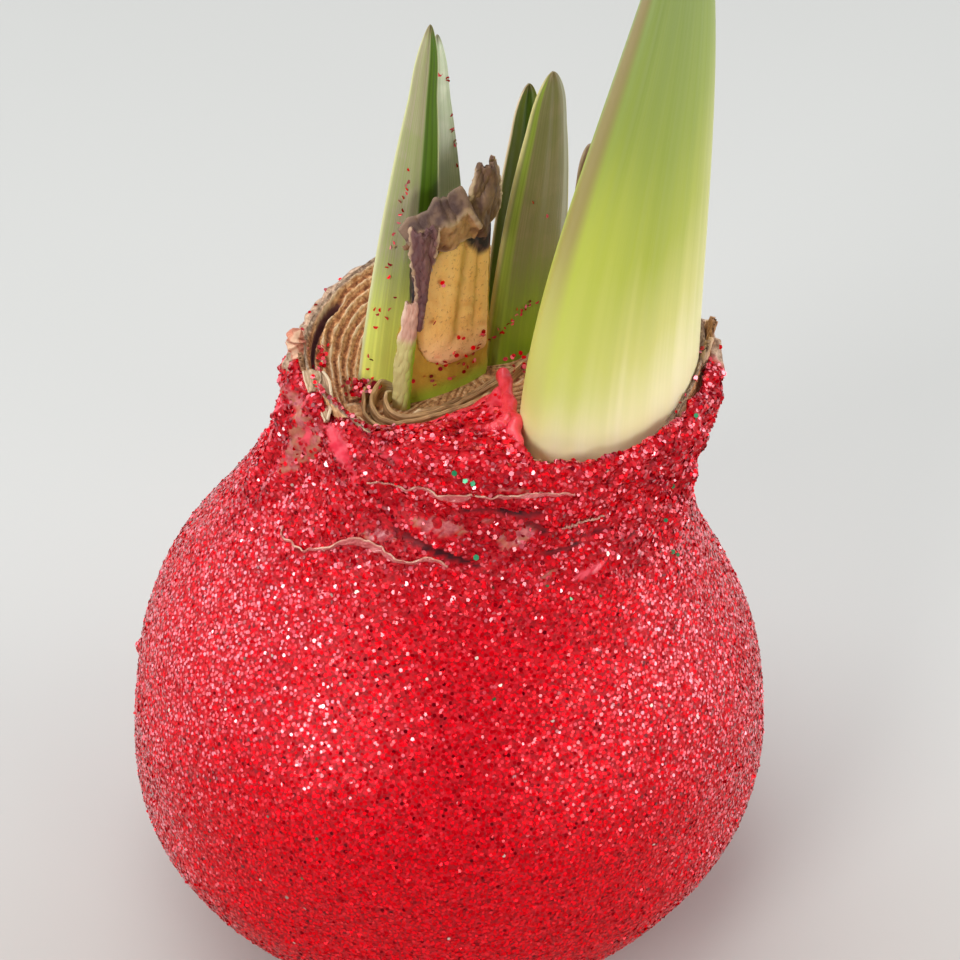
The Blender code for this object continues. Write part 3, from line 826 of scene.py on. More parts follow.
# %% Foil finish
def flake_recipe(w):
    """Red foil that goes to pink where its gloss and painted sheen is high, the pink being a painted
    reflection of the bright surroundings; deeper in patches at the neck; a few odd flakes.
    """
    shade, gloss_and_painted_sheen, kind = w.split(w.attribute("tone"))
    red = w.ramp(shade, [(0.0, (0.14, 0.0, 0.004)), (0.08, (0.60, 0.0, 0.006)),
                         (0.6, (0.88, 0.001, 0.008)), (1.0, (0.97, 0.006, 0.020))])
    pink = w.ramp(shade, [(0.0, (0.20, 0.0, 0.010)), (0.12, (0.64, 0.006, 0.024)),
                          (0.55, (0.94, 0.08, 0.13)), (1.0, (1.0, 0.29, 0.37))])
    # Painted reflection: flakes with a high sheen are coloured pink, as the bright surroundings reflected in
    # the foil
    red = w.mix(w.spread(gloss_and_painted_sheen, 0.15, 0.85), red, pink)
    patch = w.noise(w.place(), 130.0, 3.0, 0.6)
    high = w.spread(w.split(w.place())[2], 0.070, 0.088)
    deep = w.times(w.spread(patch, 0.48, 0.60), w.times(high, 0.62))
    red = w.mix(deep, red, (0.24, 0.0, 0.008))
    rare = w.ramp(shade, [(0.0, (0.02, 0.35, 0.12)), (0.3, (0.10, 0.03, 0.02)), (1.0, (0.95, 0.75, 0.65))])
    colour = w.mix(w.calc("GREATER_THAN", kind, 0.998), red, rare)
    return {"Base Color": colour, "Roughness": w.spread(shade, 0, 1, 0.22, 0.42),
            "Coat Weight": w.spread(gloss_and_painted_sheen, 0.05, 0.72, 0.02, 1.0)}


FOIL = material("red_foil", flake_recipe, metal=0.5, glint=0.05, coat_rough=0.12, coat_bend=1.75)
print("finish:", FOIL.name)

# %% Lay the flakes
FLAKE_PIECES = 4
FLAKE_CLEAR = 0.05
flake_place = coat_at(flake_angle, flake_share, FLAKE_CLEAR)
step_round = coat_at(flake_angle + 0.3, flake_share, FLAKE_CLEAR) - flake_place
step_up = coat_at(flake_angle, np.clip(flake_share + 0.002, 0, 1), FLAKE_CLEAR) - flake_place
flake_out = np.cross(step_round, step_up)
flake_out /= np.linalg.norm(flake_out, axis=1, keepdims=True) + 1e-9

# Most flakes lie flat on the body. At the neck they are rougher and larger. There and towards the edges of
# the bulb they get more clear coat and a pinker colour; the pink is a painted reflection of the bright
# surroundings
FLAT_SHARE, FLAT_TILT, LOOSE_TILT, NECK_TILT = 0.80, 0.105, 0.36, 0.26
FLAKE_SIZE, NECK_GROWTH = 0.295, 0.11
LEAST_GLOSS_AND_SHEEN, MORE_GLOSS_AND_SHEEN, NECK_GLOSS_AND_SHEEN = 0.26, 0.95, 0.58
loose = np.random.default_rng(12).random(len(flake_height))
at_neck = smooth((flake_height - 72) / 15)
flake_tilt = np.where(loose < FLAT_SHARE, FLAT_TILT, LOOSE_TILT) + NECK_TILT * at_neck
flake_size = FLAKE_SIZE + NECK_GROWTH * at_neck * loose
# Painted reflection: flakes that face sideways or away from the camera, at the bulb's edges, get more sheen
limb = 1 - smooth((-flake_out[:, 1] - 0.45) / 0.42)
flake_gloss_and_painted_sheen = LEAST_GLOSS_AND_SHEEN + MORE_GLOSS_AND_SHEEN * np.maximum(NECK_GLOSS_AND_SHEEN * at_neck, limb)
for piece in range(FLAKE_PIECES):
    mine = np.arange(piece, len(flake_angle), FLAKE_PIECES)
    dress(hexagons(f"glitter_{piece + 1}", flake_place[mine], flake_out[mine], flake_size[mine],
                   flake_tilt[mine], 20 + piece, flake_gloss_and_painted_sheen[mine]), FOIL)

# %% [markdown]
# ## The cut neck
#
# The cut neck is a stack of dry scales seen from above, like the rings of a sliced onion: thin pale crest
# lines with crumbly golden-brown between them. Separate sheets would work, but they would leave slits, so
# the whole top is one height field whose crests are sharp narrow bells.

# %% Ring heights
RING_PITCH = 1.25
CREST_HEIGHT = 0.75
CREST_WIDTH = 0.23
OUTER_RING = 0.95
GROOVE_SHARE = 0.885
GROOVE_WIDTH = 0.016
GROOVE_DEPTH = 1.8


def neck_level(angle, share):
    """Height of the cut top: a shallow bowl with a crest at each whole layer, counted inwards from the rim.

    A deep groove runs inside the outermost scale on the left, and red glitter has fallen into it.
    """
    t = np.clip((share - PIT_SHARE) / (OUTER_RING - PIT_SHARE), 0.0, 1.0)
    wander = 0.20 * waves(angle, share * 40, 31, (1, 5), (30, 90), 8)
    wander = wander + 0.05 * waves(angle, share * 40, 32, (8, 25), (9, 30))
    x, y, _ = top_plan(angle, share)
    centre_x, centre_y = neck_centre(RIM_HEIGHT)
    oval = np.hypot((x - centre_x) / NECK_RADIUS, (y - centre_y) / (NECK_RADIUS * OVAL_RATIO))
    layer = (OUTER_RING - oval) * NECK_RADIUS / RING_PITCH + wander
    away = np.abs(layer - np.round(layer))
    uneven = 0.85 + 0.15 * waves(angle, np.round(layer) * 7, 33, (6, 40), (5, 9))
    crest = np.exp(-(away / CREST_WIDTH) ** 2) * np.clip(uneven, 0.15, 1.4)
    crumb = 0.13 * waves(angle, share * 60, 34, (40, 150), (1.5, 5), 26)
    groove = bell(share, GROOVE_SHARE + 0.02 * np.sin(np.radians(angle * 5)), GROOVE_WIDTH)
    groove = groove * smooth((angle - 148) / 8) * smooth((206 - angle) / 10)
    bowl = 0.3 + BOWL_RISE * t ** 1.2 + CREST_HEIGHT * (crest * (1 - groove) - 0.2)
    bowl = bowl + crumb - GROOVE_DEPTH * groove
    level = PIT_HEIGHT + bowl * ring_squash(angle) * smooth((share - 0.40) / 0.08)
    return level, crest, groove


def neck_top(angle, share):
    """A point of the cut top at an angle and a share of the neck's radius."""
    level, crest, groove = neck_level(angle, share)
    x, y, ring = top_plan(angle, np.minimum(share, lip_share(angle) - 0.012))
    return np.stack([x, y, level + ring * rim_rise(angle)], -1), crest, groove


print("about", round(NECK_RADIUS * (OUTER_RING - PIT_SHARE) / RING_PITCH), "rings from the rim to the shoots")


# %% Stump of the neck
def neck_stump(columns=420):
    """The cut top from its middle to the rim, then the hidden body of the bulb down to its base."""
    angle = (np.arange(columns) * 360.0 / columns)[None, :]
    share = np.concatenate([np.linspace(0.02, 0.44, 8), np.linspace(0.45, 0.975, 124)])[:, None]
    top, crest, groove = neck_top(angle, share)
    body = coat_at(angle, np.linspace(0.90, 0.0, 10)[:, None], -COAT_THICKNESS - 0.6)
    points = np.concatenate([top, body, small_ring(body[-1])[None]], 0)
    pattern = np.zeros(points.shape)
    pattern[:len(top)] = np.stack(np.broadcast_arrays(crest, share, groove), -1)
    return points[::-1], pattern[::-1]


def neck_recipe(w):
    """Brown hollows, pale crests, bark at the rim and a groove painted dark red as shade, each by its own
    mask.
    """
    crest, share, groove = w.pattern()
    grain = use(w, GRAIN, scale=1500.0)
    hollow = w.mix(grain["Value"], (0.15, 0.04, 0.015), (0.66, 0.27, 0.10))
    colour = w.mix(grain["Value"], (0.48, 0.18, 0.06), (1.0, 0.58, 0.28))
    colour = w.mix(w.spread(crest, 0.02, 0.30), hollow, colour)
    colour = w.mix(w.spread(crest, 0.55, 0.95), colour, (1.0, 0.72, 0.45))
    rim = w.spread(share, 0.925, 0.96)
    bark_brown = w.mix(grain["Value"], (0.20, 0.11, 0.07), (0.62, 0.44, 0.30))
    colour = w.mix(rim, colour, bark_brown)
    # Painted shade: the deep groove is darkened to a dark red
    colour = w.mix(w.spread(groove, 0.15, 0.6), colour, (0.16, 0.05, 0.05))
    return {"Base Color": colour, "Roughness": 0.7, "Normal": w.bump(grain["Value"], 0.9, 0.3)}


DRY_SCALE = material("dry_scale_edges", neck_recipe, glint=0.3)
dress(surface("neck_stump", *neck_stump()), DRY_SCALE, "bulb")

# %% [markdown]
# ## The leaves
#
# A young amaryllis leaf is a strap with a rounded edge and a shallow channel. A flat card with a picture of a
# leaf would do from far away, but these blades are seen from near and have real thickness. So each is a
# closed section carried along a straight rib: the section's width shrinks towards the tip as (1 - v^p)^q,
# and its middle bulges forward. A waxy bloom lies over the green in streaks.

# %% Sizes of the leaves
POCKET_HEIGHT = 90.0
LEAF_THICKNESS = 1.25
TIP_ROUNDING = 0.45
LEAVES = {
    "leaf_left_front": dict(base=(-6.4, 2.5, 100), tip=(0.0, 3.2, 157.5), width=11.0, angle=16, bulge=1.2,
                            taper=(1.6, 0.78)),
    "leaf_left_back": dict(base=(0.4, 8.6, 100), tip=(0.8, 7.2, 154.0), width=10.6, angle=34, bulge=-1.0,
                           taper=(1.7, 0.8)),
    "leaf_right_front": dict(base=(12.7, 10.8, 100), tip=(16.4, 9.0, 147.5), width=13.6, angle=34, bulge=1.2,
                             taper=(1.9, 0.6)),
    "leaf_right_back": dict(base=(11.2, 14.8, 100), tip=(13.3, 12.0, 144.0), width=10.4, angle=34, bulge=-0.9,
                            taper=(1.9, 0.6)),
    "dry_leaf_back": dict(base=(22.6, 18.0, 100), tip=(22.4, 17.0, 131.5), width=6.0, angle=34, bulge=0.8,
                          taper=(4.0, 0.5)),
}
print("leaf tips at", {leaf_name: leaf["tip"][2] for leaf_name, leaf in LEAVES.items()})


# %% Shape of a leaf
def blade(base, tip, width, angle, bulge, taper, rows=110, around=60):
    """Closed section (half width * cos, thickness * sin) on a rib from base to tip, bulging by 1 - u^2."""
    base, tip = np.array(base, float), np.array(tip, float)
    turn = np.radians(angle)
    sideways = np.array([np.cos(turn), np.sin(turn), 0.0])
    outwards = np.array([np.sin(turn), -np.cos(turn), 0.0])
    root = (POCKET_HEIGHT - base[2]) / (tip[2] - base[2])
    v = 1.0 - (1.0 - np.linspace(0, 1, rows)) ** 1.3
    rise = (root + (1.0 - root) * v)[:, None]
    phi = np.linspace(0, 2 * np.pi, around, endpoint=False)[None, :]
    u = -np.cos(phi)
    side = np.sin(phi)
    power, blunt = taper
    above = np.clip(rise, 0, 1)
    shrink = (1.0 - above ** power) ** blunt
    blunt_tip = TIP_ROUNDING * (1.0 - above) * smooth((rise - 0.8) / 0.15)
    shrink = np.sqrt(shrink ** 2 + blunt_tip)
    half = 0.5 * width * np.maximum(shrink, 0.012)
    thinner = np.minimum(1.0, 0.25 + shrink * 1.4) * np.sqrt(np.minimum(1.0, shrink * 6 + 0.01))
    thick = LEAF_THICKNESS * thinner
    body = np.sign(side) * np.abs(side) ** 0.75
    rib = -0.22 * np.exp(-(u / 0.13) ** 2) * (side > 0) * shrink
    ripple = 0.10 * np.sin(9 * u + 5 * rise) * (1 - u * u)
    section = bulge * (1.0 - u * u) * np.clip(shrink * 1.4, 0, 1) + body * thick / 2 + rib + ripple
    middle = base + rise[..., None] * (tip - base)
    points = middle + (half * u)[..., None] * sideways + section[..., None] * outwards
    pattern = np.stack(np.broadcast_arrays(u, v[:, None], np.sign(side)), -1)
    return points, pattern


LEAF_GRIDS = {leaf_name: blade(**leaf) for leaf_name, leaf in LEAVES.items()}
print("each leaf has", LEAF_GRIDS["leaf_left_front"][0].shape[:2], "rows and columns")


# %% Leaf finish
def leaf_material(name, base, face, bloom, margin, stripes, bloom_amount):
    """Green from base to tip, a bloom in streaks, a pale margin, and stripes as (from, to, colour) across."""

    def recipe(w):
        """Base green first, then shadow streaks, bloom, stripes, margin and a dry tip over it."""
        across, along, _ = w.pattern()
        streak = use(w, STREAKS, count=24.0, run=1.6)
        grain = use(w, GRAIN, scale=500.0)
        green = w.mix(w.spread(along, 0.18, 0.60), base, face)
        green = w.mix(w.times(streak["Broad"], 0.22), green, shade_of(face, 0.55))
        cover = w.times(w.spread(streak["Fine"], 0, 1, 0.45, 1.0), bloom_amount)
        cover = w.times(cover, w.spread(along, 0.28, 0.60))
        cover = w.times(cover, w.spread(grain["Blotch"], 0, 1, 0.7, 1.0))
        colour = w.mix(cover, green, bloom)
        for low, high, bright in stripes:
            inside = w.times(w.spread(across, low, low + 0.14), w.spread(across, high, high - 0.12))
            veined = w.mix(streak["Broad"], bright, shade_of(bright, 0.6))
            colour = w.mix(inside, colour, veined)
        edge = w.spread(w.calc("ABSOLUTE", across), 0.90, 0.99)
        colour = w.mix(edge, colour, margin)
        tip = w.spread(along, 0.965, 1.0)
        colour = w.mix(w.times(tip, 0.7), colour, (0.20, 0.13, 0.06))
        return {"Base Color": colour, "Roughness": w.spread(streak["Fine"], 0, 1, 0.36, 0.52),
                "Normal": w.bump(streak["Fine"], 0.25, 0.08)}

    return material(name, recipe, deep=0.06, deep_reach=(0.4, 0.9, 0.2), deep_scale=0.001, glint=0.35)


print("a leaf's finish takes its colours and stripes from the table that follows")

# %% Leaves in their colours
LEAF_COLOURS = {
    # The glaucous leaf's foot is pale yellow-green, brightened beyond that as a painted glow of light shining
    # through it
    "leaf_left_front": ("leaf_glaucous", dict(
        base=(0.92, 0.98, 0.20), face=(0.28, 0.38, 0.07), bloom=(0.50, 0.41, 0.32),
        margin=(0.62, 0.62, 0.32), stripes=[(0.06, 0.97, (0.10, 0.20, 0.008))], bloom_amount=0.85)),
    "leaf_left_back": ("leaf_blue_grey", dict(
        base=(0.55, 0.62, 0.28), face=(0.50, 0.60, 0.38), bloom=(1.0, 1.0, 0.90),
        margin=(0.50, 0.52, 0.38), stripes=[], bloom_amount=0.9)),
    "leaf_right_front": ("leaf_mauve_green", dict(
        base=(0.26, 0.38, 0.02), face=(0.16, 0.17, 0.05), bloom=(0.30, 0.23, 0.13),
        margin=(0.60, 0.54, 0.22), bloom_amount=0.8,
        stripes=[(0.60, 0.97, (0.40, 0.38, 0.27)), (-0.98, -0.66, (0.36, 0.46, 0.06))])),
    "leaf_right_back": ("leaf_dark_green", dict(
        base=(0.18, 0.28, 0.015), face=(0.14, 0.20, 0.012), bloom=(0.22, 0.22, 0.07),
        margin=(0.66, 0.52, 0.32), stripes=[(-0.3, 0.5, (0.09, 0.16, 0.008))], bloom_amount=0.5)),
    "dry_leaf_back": ("leaf_dry", dict(
        base=(0.16, 0.08, 0.04), face=(0.20, 0.10, 0.06), bloom=(0.44, 0.28, 0.20),
        margin=(0.50, 0.35, 0.22), stripes=[], bloom_amount=0.6)),
}
for leaf_name, (finish_name, colours) in LEAF_COLOURS.items():
    leaf_skin = surface(leaf_name + "_blade", *LEAF_GRIDS[leaf_name])
    dress(leaf_skin, leaf_material(finish_name, **colours), leaf_name)

# %% [markdown]
# ## The withered leaf
#
# A leaf was cut here long ago. Its stump is still green at the foot and fleshy tan with ribs above, and the
# skin has dried back to a crumpled brown fold. Cloth could be let fall and crumple by itself, but it would
# not fall into these folds. So the stump is one thick slab, and the dried fold, the rolled margin and the
# standing curl are thin sheets laid over it.

# %% Plane of the withered leaf
WITHERED_LEFT = np.array([-6.2, -3.3, 0.0])
WITHERED_RIGHT = np.array([7.4, 5.0, 0.0])
WITHERED_SIDE = (WITHERED_RIGHT - WITHERED_LEFT) / np.linalg.norm(WITHERED_RIGHT - WITHERED_LEFT)
WITHERED_OUT = np.array([WITHERED_SIDE[1], -WITHERED_SIDE[0], 0.0])
WITHERED_HALF = np.linalg.norm(WITHERED_RIGHT - WITHERED_LEFT) / 2


def withered_at(u, height, out=0.0):
    """A point of the stump's plane: u across it, a height, and a distance in front of it."""
    narrow = 1.0 - 0.05 * smooth((height - 100.0) / 25.0)
    spots = (WITHERED_LEFT + WITHERED_RIGHT) / 2 + (WITHERED_HALF * narrow * u)[..., None] * WITHERED_SIDE
    spots = spots + (out - 1.1 * u * u)[..., None] * WITHERED_OUT
    spots[..., 0] += 0.035 * (height - 100.0)
    spots[..., 2] = height
    return spots


print("the withered leaf is", round(float(2 * WITHERED_HALF), 1), "mm wide at its foot")

# %% Stump of the withered leaf
# Left edge of the fleshy face, as (height, place across from -1 to 1)
FACE_EDGE = [(100, 0.30), (105, -0.05), (106.5, -0.36), (109, -0.52), (113, -0.58), (117, -0.52),
             (121, -0.38), (124.5, -0.14), (128, 0.10)]


def withered_stump(rows=110, cols=64):
    """A plate whose fleshy face bulges inside its rounded outline, with two slanting grooves down it.

    It returns the plate's middle and its masks for the face, the grooves, and the burnt skin and painted
    shadow.
    """
    u, v = sheet_grid(rows, cols)
    top = 124.0 + 4.5 * smooth((u + 0.9) / 0.9) + 2.0 * hump(u * 100, 84, 22) - 2.0 * hump(u * 100, 54, 9)
    height = POCKET_HEIGHT + v * (top - POCKET_HEIGHT)
    heights, edges = np.array(FACE_EDGE, float).T
    u = np.where(u < 0, u * (0.86 - 0.22 * smooth((height - 110.0) / 6.0)), u)
    left = np.interp(height, heights, edges)
    face = smooth((u - left) / 0.12) * smooth((0.93 - u) / 0.06) * smooth((height - 104.2) / 1.2)
    face = face * smooth((124.8 + 1.5 * u - height) / 1.5)
    groove = bell(u, 0.34 - 0.012 * (122 - height), 0.09) + 0.6 * bell(u, 0.66 - 0.006 * (122 - height), 0.07)
    groove = groove * smooth((height - 106) / 5)
    # Painted shadow: a dark band under the top fold, reaching lower at the right as a blue-black pocket; at
    # the face's left edge, burnt skin with painted shadow
    top_shadow = smooth((height - 124.2 + 3.0 * smooth((u - 0.4) / 0.3)) / 1.2)
    side_burn_and_shadow = smooth((left - u) / 0.06 + 0.3) * smooth((height - 114) / 3)
    burn_and_shadow = np.maximum(top_shadow, side_burn_and_shadow)
    out = 0.55 * face - 0.45 * groove * face + 0.06 * waves(u * 60, height, 41, (6, 20), (2, 6))
    return withered_at(u, height, out), (face, groove * face, burn_and_shadow)


STUMP_THICKNESS = 1.9
stump_grid, stump_tones = withered_stump()
print("the stump's top stands at", round(float(stump_grid[..., 2].max()), 1), "mm")

# %% Flesh of the withered leaf
def withered_recipe(w):
    """Olive green that is fresher at its foot, tan flesh inside the face, and over both a near-black of burnt
    skin and painted shadow.
    """
    face, groove, burn_and_shadow = w.pattern()
    drawn_out = w.node("Mapping", inputs={"Vector": w.place(), "Scale": (900.0, 900.0, 120.0)}).outputs[0]
    streak = w.noise(drawn_out, 1.0, 4.0)
    grain = use(w, GRAIN, scale=2000.0)
    green = w.mix(streak, (0.46, 0.24, 0.02), (0.78, 0.52, 0.08))
    _, _, height = w.split(w.place())
    green = w.mix(w.spread(height, 0.1025, 0.0995), green, (0.45, 0.60, 0.05))
    flesh = w.mix(streak, (0.98, 0.52, 0.12), (1.0, 0.68, 0.26))
    flesh = w.mix(w.spread(height, 0.112, 0.105), flesh, (1.0, 0.62, 0.32))
    flesh = w.mix(w.times(w.spread(grain["Value"], 0.75, 1.0), 0.6), flesh, (0.40, 0.14, 0.04))
    flesh = w.mix(w.times(w.spread(groove, 0.1, 0.9), 0.65), flesh, (0.46, 0.26, 0.03))
    colour = w.mix(w.spread(face, 0.25, 0.75), green, flesh)
    # Bluish near-black: burnt skin, and painted shadow under the fold and beside the face
    burn_and_shadow_tint = w.mix(grain["Blotch"], (0.014, 0.010, 0.018), (0.09, 0.04, 0.04))
    colour = w.mix(burn_and_shadow, colour, burn_and_shadow_tint)
    return {"Base Color": colour, "Roughness": 0.45, "Normal": w.bump(grain["Value"], 0.35, 0.15)}


WITHERED = material("withered_flesh", withered_recipe, deep=0.06, deep_scale=0.001, glint=0.35)
dress(slab("withered_stump", stump_grid, STUMP_THICKNESS, stump_tones), WITHERED,
      "withered_leaf")

# %% [markdown]
# Four dried sheets lie over the stump: its rolled left margin, a mauve strip that hangs from it, the
# crumpled fold across the top and a curl that still stands. A crumpled picture on the stump would show no
# edge, so each is a sheet over the stump's plane: its half width, its place and its distance in front are
# functions of the height, and its creases are zigzags.

# %% Shape of a dried sheet
def dried_sheet(heights, centres, halves, outs, arch, crease, seed, rows=80, cols=44):
    """Sheet on the stump's plane, with s across it from -1 to 1 and h up it.

    Across the plane it lies at centre(h) + half(h) * s, in front by out(h) + arch * (1 - s^2) + creases.
    """
    s, v = sheet_grid(rows, cols)
    height = heights[0] + (heights[-1] - heights[0]) * v
    middle = np.interp(height, heights, centres)
    half = np.interp(height, heights, halves)
    front = np.interp(height, heights, outs)
    ragged = 0.05 * waves(s[:1] * 0, v * 90, seed, (1, 4), (4, 14), 10) * np.abs(s)
    zigzag = np.abs(((s * 1.5 + 0.6 * np.sin(v * 7 + seed)) % 2.0) - 1.0) - 0.5
    fine = 0.10 * waves(s * 50, height, seed + 1, (6, 24), (1.5, 5), 16)
    out = front + arch * (1 - s * s) + crease * zigzag + fine
    tip = 0.35 * waves(s * 90, s * 0, seed + 2, (2, 9), (9, 30), 8) * smooth((v - 0.8) / 0.2)
    return withered_at(middle + half * s + ragged * half, height + tip, out)


print("the sheets lie in front of a plane from", WITHERED_LEFT[:2], "to", WITHERED_RIGHT[:2])

# %% Dry skin
MARGIN_FOOT = (0.58, 0.50, 0.20)


def dried_material(name, dark, pale, edge, low=None, count=5.0, run=2.5):
    """Dry leaf skin: dark and pale streaks, pale margins, and a different foot where one is given."""

    def recipe(w):
        """Streaks first, then blotches, margins and the foot."""
        across, along, _ = w.pattern()
        streak = use(w, STREAKS, count=count, run=run)
        grain = use(w, GRAIN, scale=900.0)
        colour = w.mix(w.times(streak["Fine"], 0.8), dark, pale)
        colour = w.mix(w.times(grain["Blotch"], 0.4), colour, shade_of(dark, 0.5))
        margin = w.spread(w.calc("ABSOLUTE", across), 0.78, 0.96)
        colour = w.mix(w.times(margin, 0.8), colour, edge)
        if low:
            at_foot = w.spread(along, 0.72, 0.62)
            colour = w.mix(at_foot, colour, w.mix(w.spread(across, -0.4, 0.5), MARGIN_FOOT, low))
        return {"Base Color": colour, "Roughness": 0.5, "Normal": w.bump(streak["Fine"], 0.5, 0.2)}

    return material(name, recipe, glint=0.35)


print("dry skin is streaked along the pattern of its piece")

# %% Margin, strip and curl
# Each has its heights, then its place across, half width and distance in front at each of them
SHEET_THICKNESS = 0.65
DRIED = {
    "rolled_margin": (dict(heights=(98.5, 106, 112, 117.6), centres=(-0.84, -0.83, -0.77, -0.71),
                           halves=(0.13, 0.15, 0.14, 0.10), outs=(0.7, 0.9, 1.0, 1.0),
                           arch=1.3, crease=0.1, seed=61),
                      ("rolled_margin_skin", (0.56, 0.27, 0.19), (0.74, 0.46, 0.34), (0.80, 0.58, 0.44),
                       (0.30, 0.47, 0.02))),
    "mauve_strip": (dict(heights=(113.0, 117, 121, 124.5, 130.8), centres=(-0.62, -0.61, -0.63, -0.66, -0.70),
                         halves=(0.06, 0.08, 0.12, 0.21, 0.26), outs=(1.6, 1.9, 2.3, 3.0, 3.9),
                         arch=0.6, crease=0.6, seed=71),
                    ("mauve_skin", (0.13, 0.05, 0.055), (0.30, 0.15, 0.13), (0.62, 0.42, 0.26))),
    "standing_curl": (dict(heights=(125.6, 128, 131, 134, 136.4), centres=(0.66, 0.72, 0.76, 0.78, 0.80),
                           halves=(0.26, 0.38, 0.43, 0.38, 0.20), outs=(1.0, 1.4, 1.4, 1.2, 1.0),
                           arch=1.2, crease=0.9, seed=81),
                      ("curl_skin", (0.12, 0.055, 0.04), (0.34, 0.20, 0.10), (0.66, 0.48, 0.31))),
}
for sheet_name, (shape, skin) in DRIED.items():
    dress(slab(sheet_name, dried_sheet(**shape), SHEET_THICKNESS), dried_material(*skin))

# %% Fold across the top
FOLD_LEFT = -0.98
FOLD_RIGHT = 0.50
FOLD_CREST = [(0, 129.8), (0.1, 130.6), (0.3, 131.8), (0.45, 133.6), (0.62, 133.0), (0.8, 134.6),
              (0.92, 131.6), (1, 129.5)]


def top_fold(rows=50, cols=90):
    """A gable over the stump: its low edge is in front, a crease runs along it, its high edge is behind.

    Its two edges are heights along the fold, and its distance in front follows five places up the gable.
    """
    u, v = sheet_grid(rows, cols, FOLD_LEFT, FOLD_RIGHT)
    along = (u - FOLD_LEFT) / (FOLD_RIGHT - FOLD_LEFT)
    low = 127.4 - 2.0 * along + 0.8 * np.sin(along * 9)
    high = np.interp(along, *np.array(FOLD_CREST, float).T)
    high = high + 0.35 * waves(along * 200, along * 0, 91, (3, 14), (9, 30), 10)
    height = low + (high - low) * v
    gable = np.interp(v, (0, 0.60, 0.68, 0.85, 1), (2.3, 3.5, 3.7, 2.4, 1.0))
    out = gable + 0.28 * np.sin(along * 11 + 4 * v) + 0.12 * waves(u * 80, height, 92, (6, 30), (1.5, 5), 18)
    crease = 0.8 * bell(v, 0.66, 0.025) + 0.4 * bell(v, 0.99, 0.02) + 0.6 * bell(v, 0.0, 0.03)
    return withered_at(u, height, out), (np.clip(crease, 0, 1), v, along)


def fold_recipe(w):
    """Tan below the crease, dark above it, and pale along it."""
    crease, up, _ = w.pattern()
    grain = use(w, GRAIN, scale=1000.0)
    low = w.mix(grain["Blotch"], (0.20, 0.09, 0.035), (0.42, 0.23, 0.09))
    high = w.mix(grain["Blotch"], (0.07, 0.032, 0.024), (0.18, 0.10, 0.06))
    colour = w.mix(w.spread(up, 0.64, 0.74), low, high)
    colour = w.mix(w.times(crease, 0.6), colour, (0.60, 0.44, 0.30))
    return {"Base Color": colour, "Roughness": 0.55, "Normal": w.bump(grain["Value"], 0.6, 0.2)}


fold_grid, fold_tones = top_fold()
TOP_FOLD = material("top_fold_skin", fold_recipe, glint=0.35)
dress(slab("top_fold", fold_grid, SHEET_THICKNESS, fold_tones), TOP_FOLD)

# %% [markdown]
# ## The flower bud
#
# The bud is a flattened spindle, closed by two spathe valves. It could be lofted from drawn sections, but a
# turned profile that is then flattened and leaned, as the solid in the frame is, has its keels and ribs in
# one line each.

# %% Shape of the flower bud
BUD_BASE = (25.4, -4.7)
BUD_TOP_SHIFT = (6.7, -0.5)
BUD_HALF_LENGTH = 14.9
BUD_FLATNESS = 0.55
BUD_ANGLE = 35.0
BUD_FOOT = 98.0
BUD_WAIST = 0.82
BUD_TIP = 187.0


def bud_surface(rows=150, around=120):
    """Half length shrinks as 1 - climb^1.55; the section is an ellipse with a faint keel at its two ends."""
    height = POCKET_HEIGHT + (BUD_TIP - POCKET_HEIGHT) * (1 - (1 - np.linspace(0, 1, rows)) ** 1.25)[:, None]
    climb = np.clip((height - BUD_FOOT) / (BUD_TIP + 1.0 - BUD_FOOT), 0, 1)
    waist = BUD_WAIST + (1.0 - BUD_WAIST) * smooth((height - POCKET_HEIGHT) / (BUD_FOOT - POCKET_HEIGHT))
    half = (1.0 - climb ** 1.55) * BUD_HALF_LENGTH * waist
    theta = np.linspace(0, 2 * np.pi, around, endpoint=False)[None, :]
    flat = BUD_FLATNESS + 0.1 * smooth((height - 140.0) / 45.0)
    keel = 1.0 + 0.04 * np.cos(2 * theta)
    ribs = 1.0 + 0.006 * np.sin(7 * theta + 0.5) + 0.004 * np.sin(13 * theta)
    along = half * np.cos(theta) * keel
    aside = half * np.sin(theta) * flat * ribs
    shift = smooth((height - 100.0) / 85.0)
    turn = np.radians(BUD_ANGLE)
    x = BUD_BASE[0] + BUD_TOP_SHIFT[0] * shift + along * np.cos(turn) - aside * np.sin(turn)
    y = BUD_BASE[1] + BUD_TOP_SHIFT[1] * shift + along * np.sin(turn) + aside * np.cos(turn)
    points = np.stack([x, y, np.broadcast_to(height, x.shape)], -1)
    pattern = np.stack(np.broadcast_arrays(np.cos(theta), (height - BUD_FOOT) / (BUD_TIP - BUD_FOOT),
                                           np.sin(theta)), -1)
    return points, pattern


bud_grid, bud_tones = bud_surface()
print("the bud stands", BUD_TIP - BUD_FOOT, "mm out of the neck")


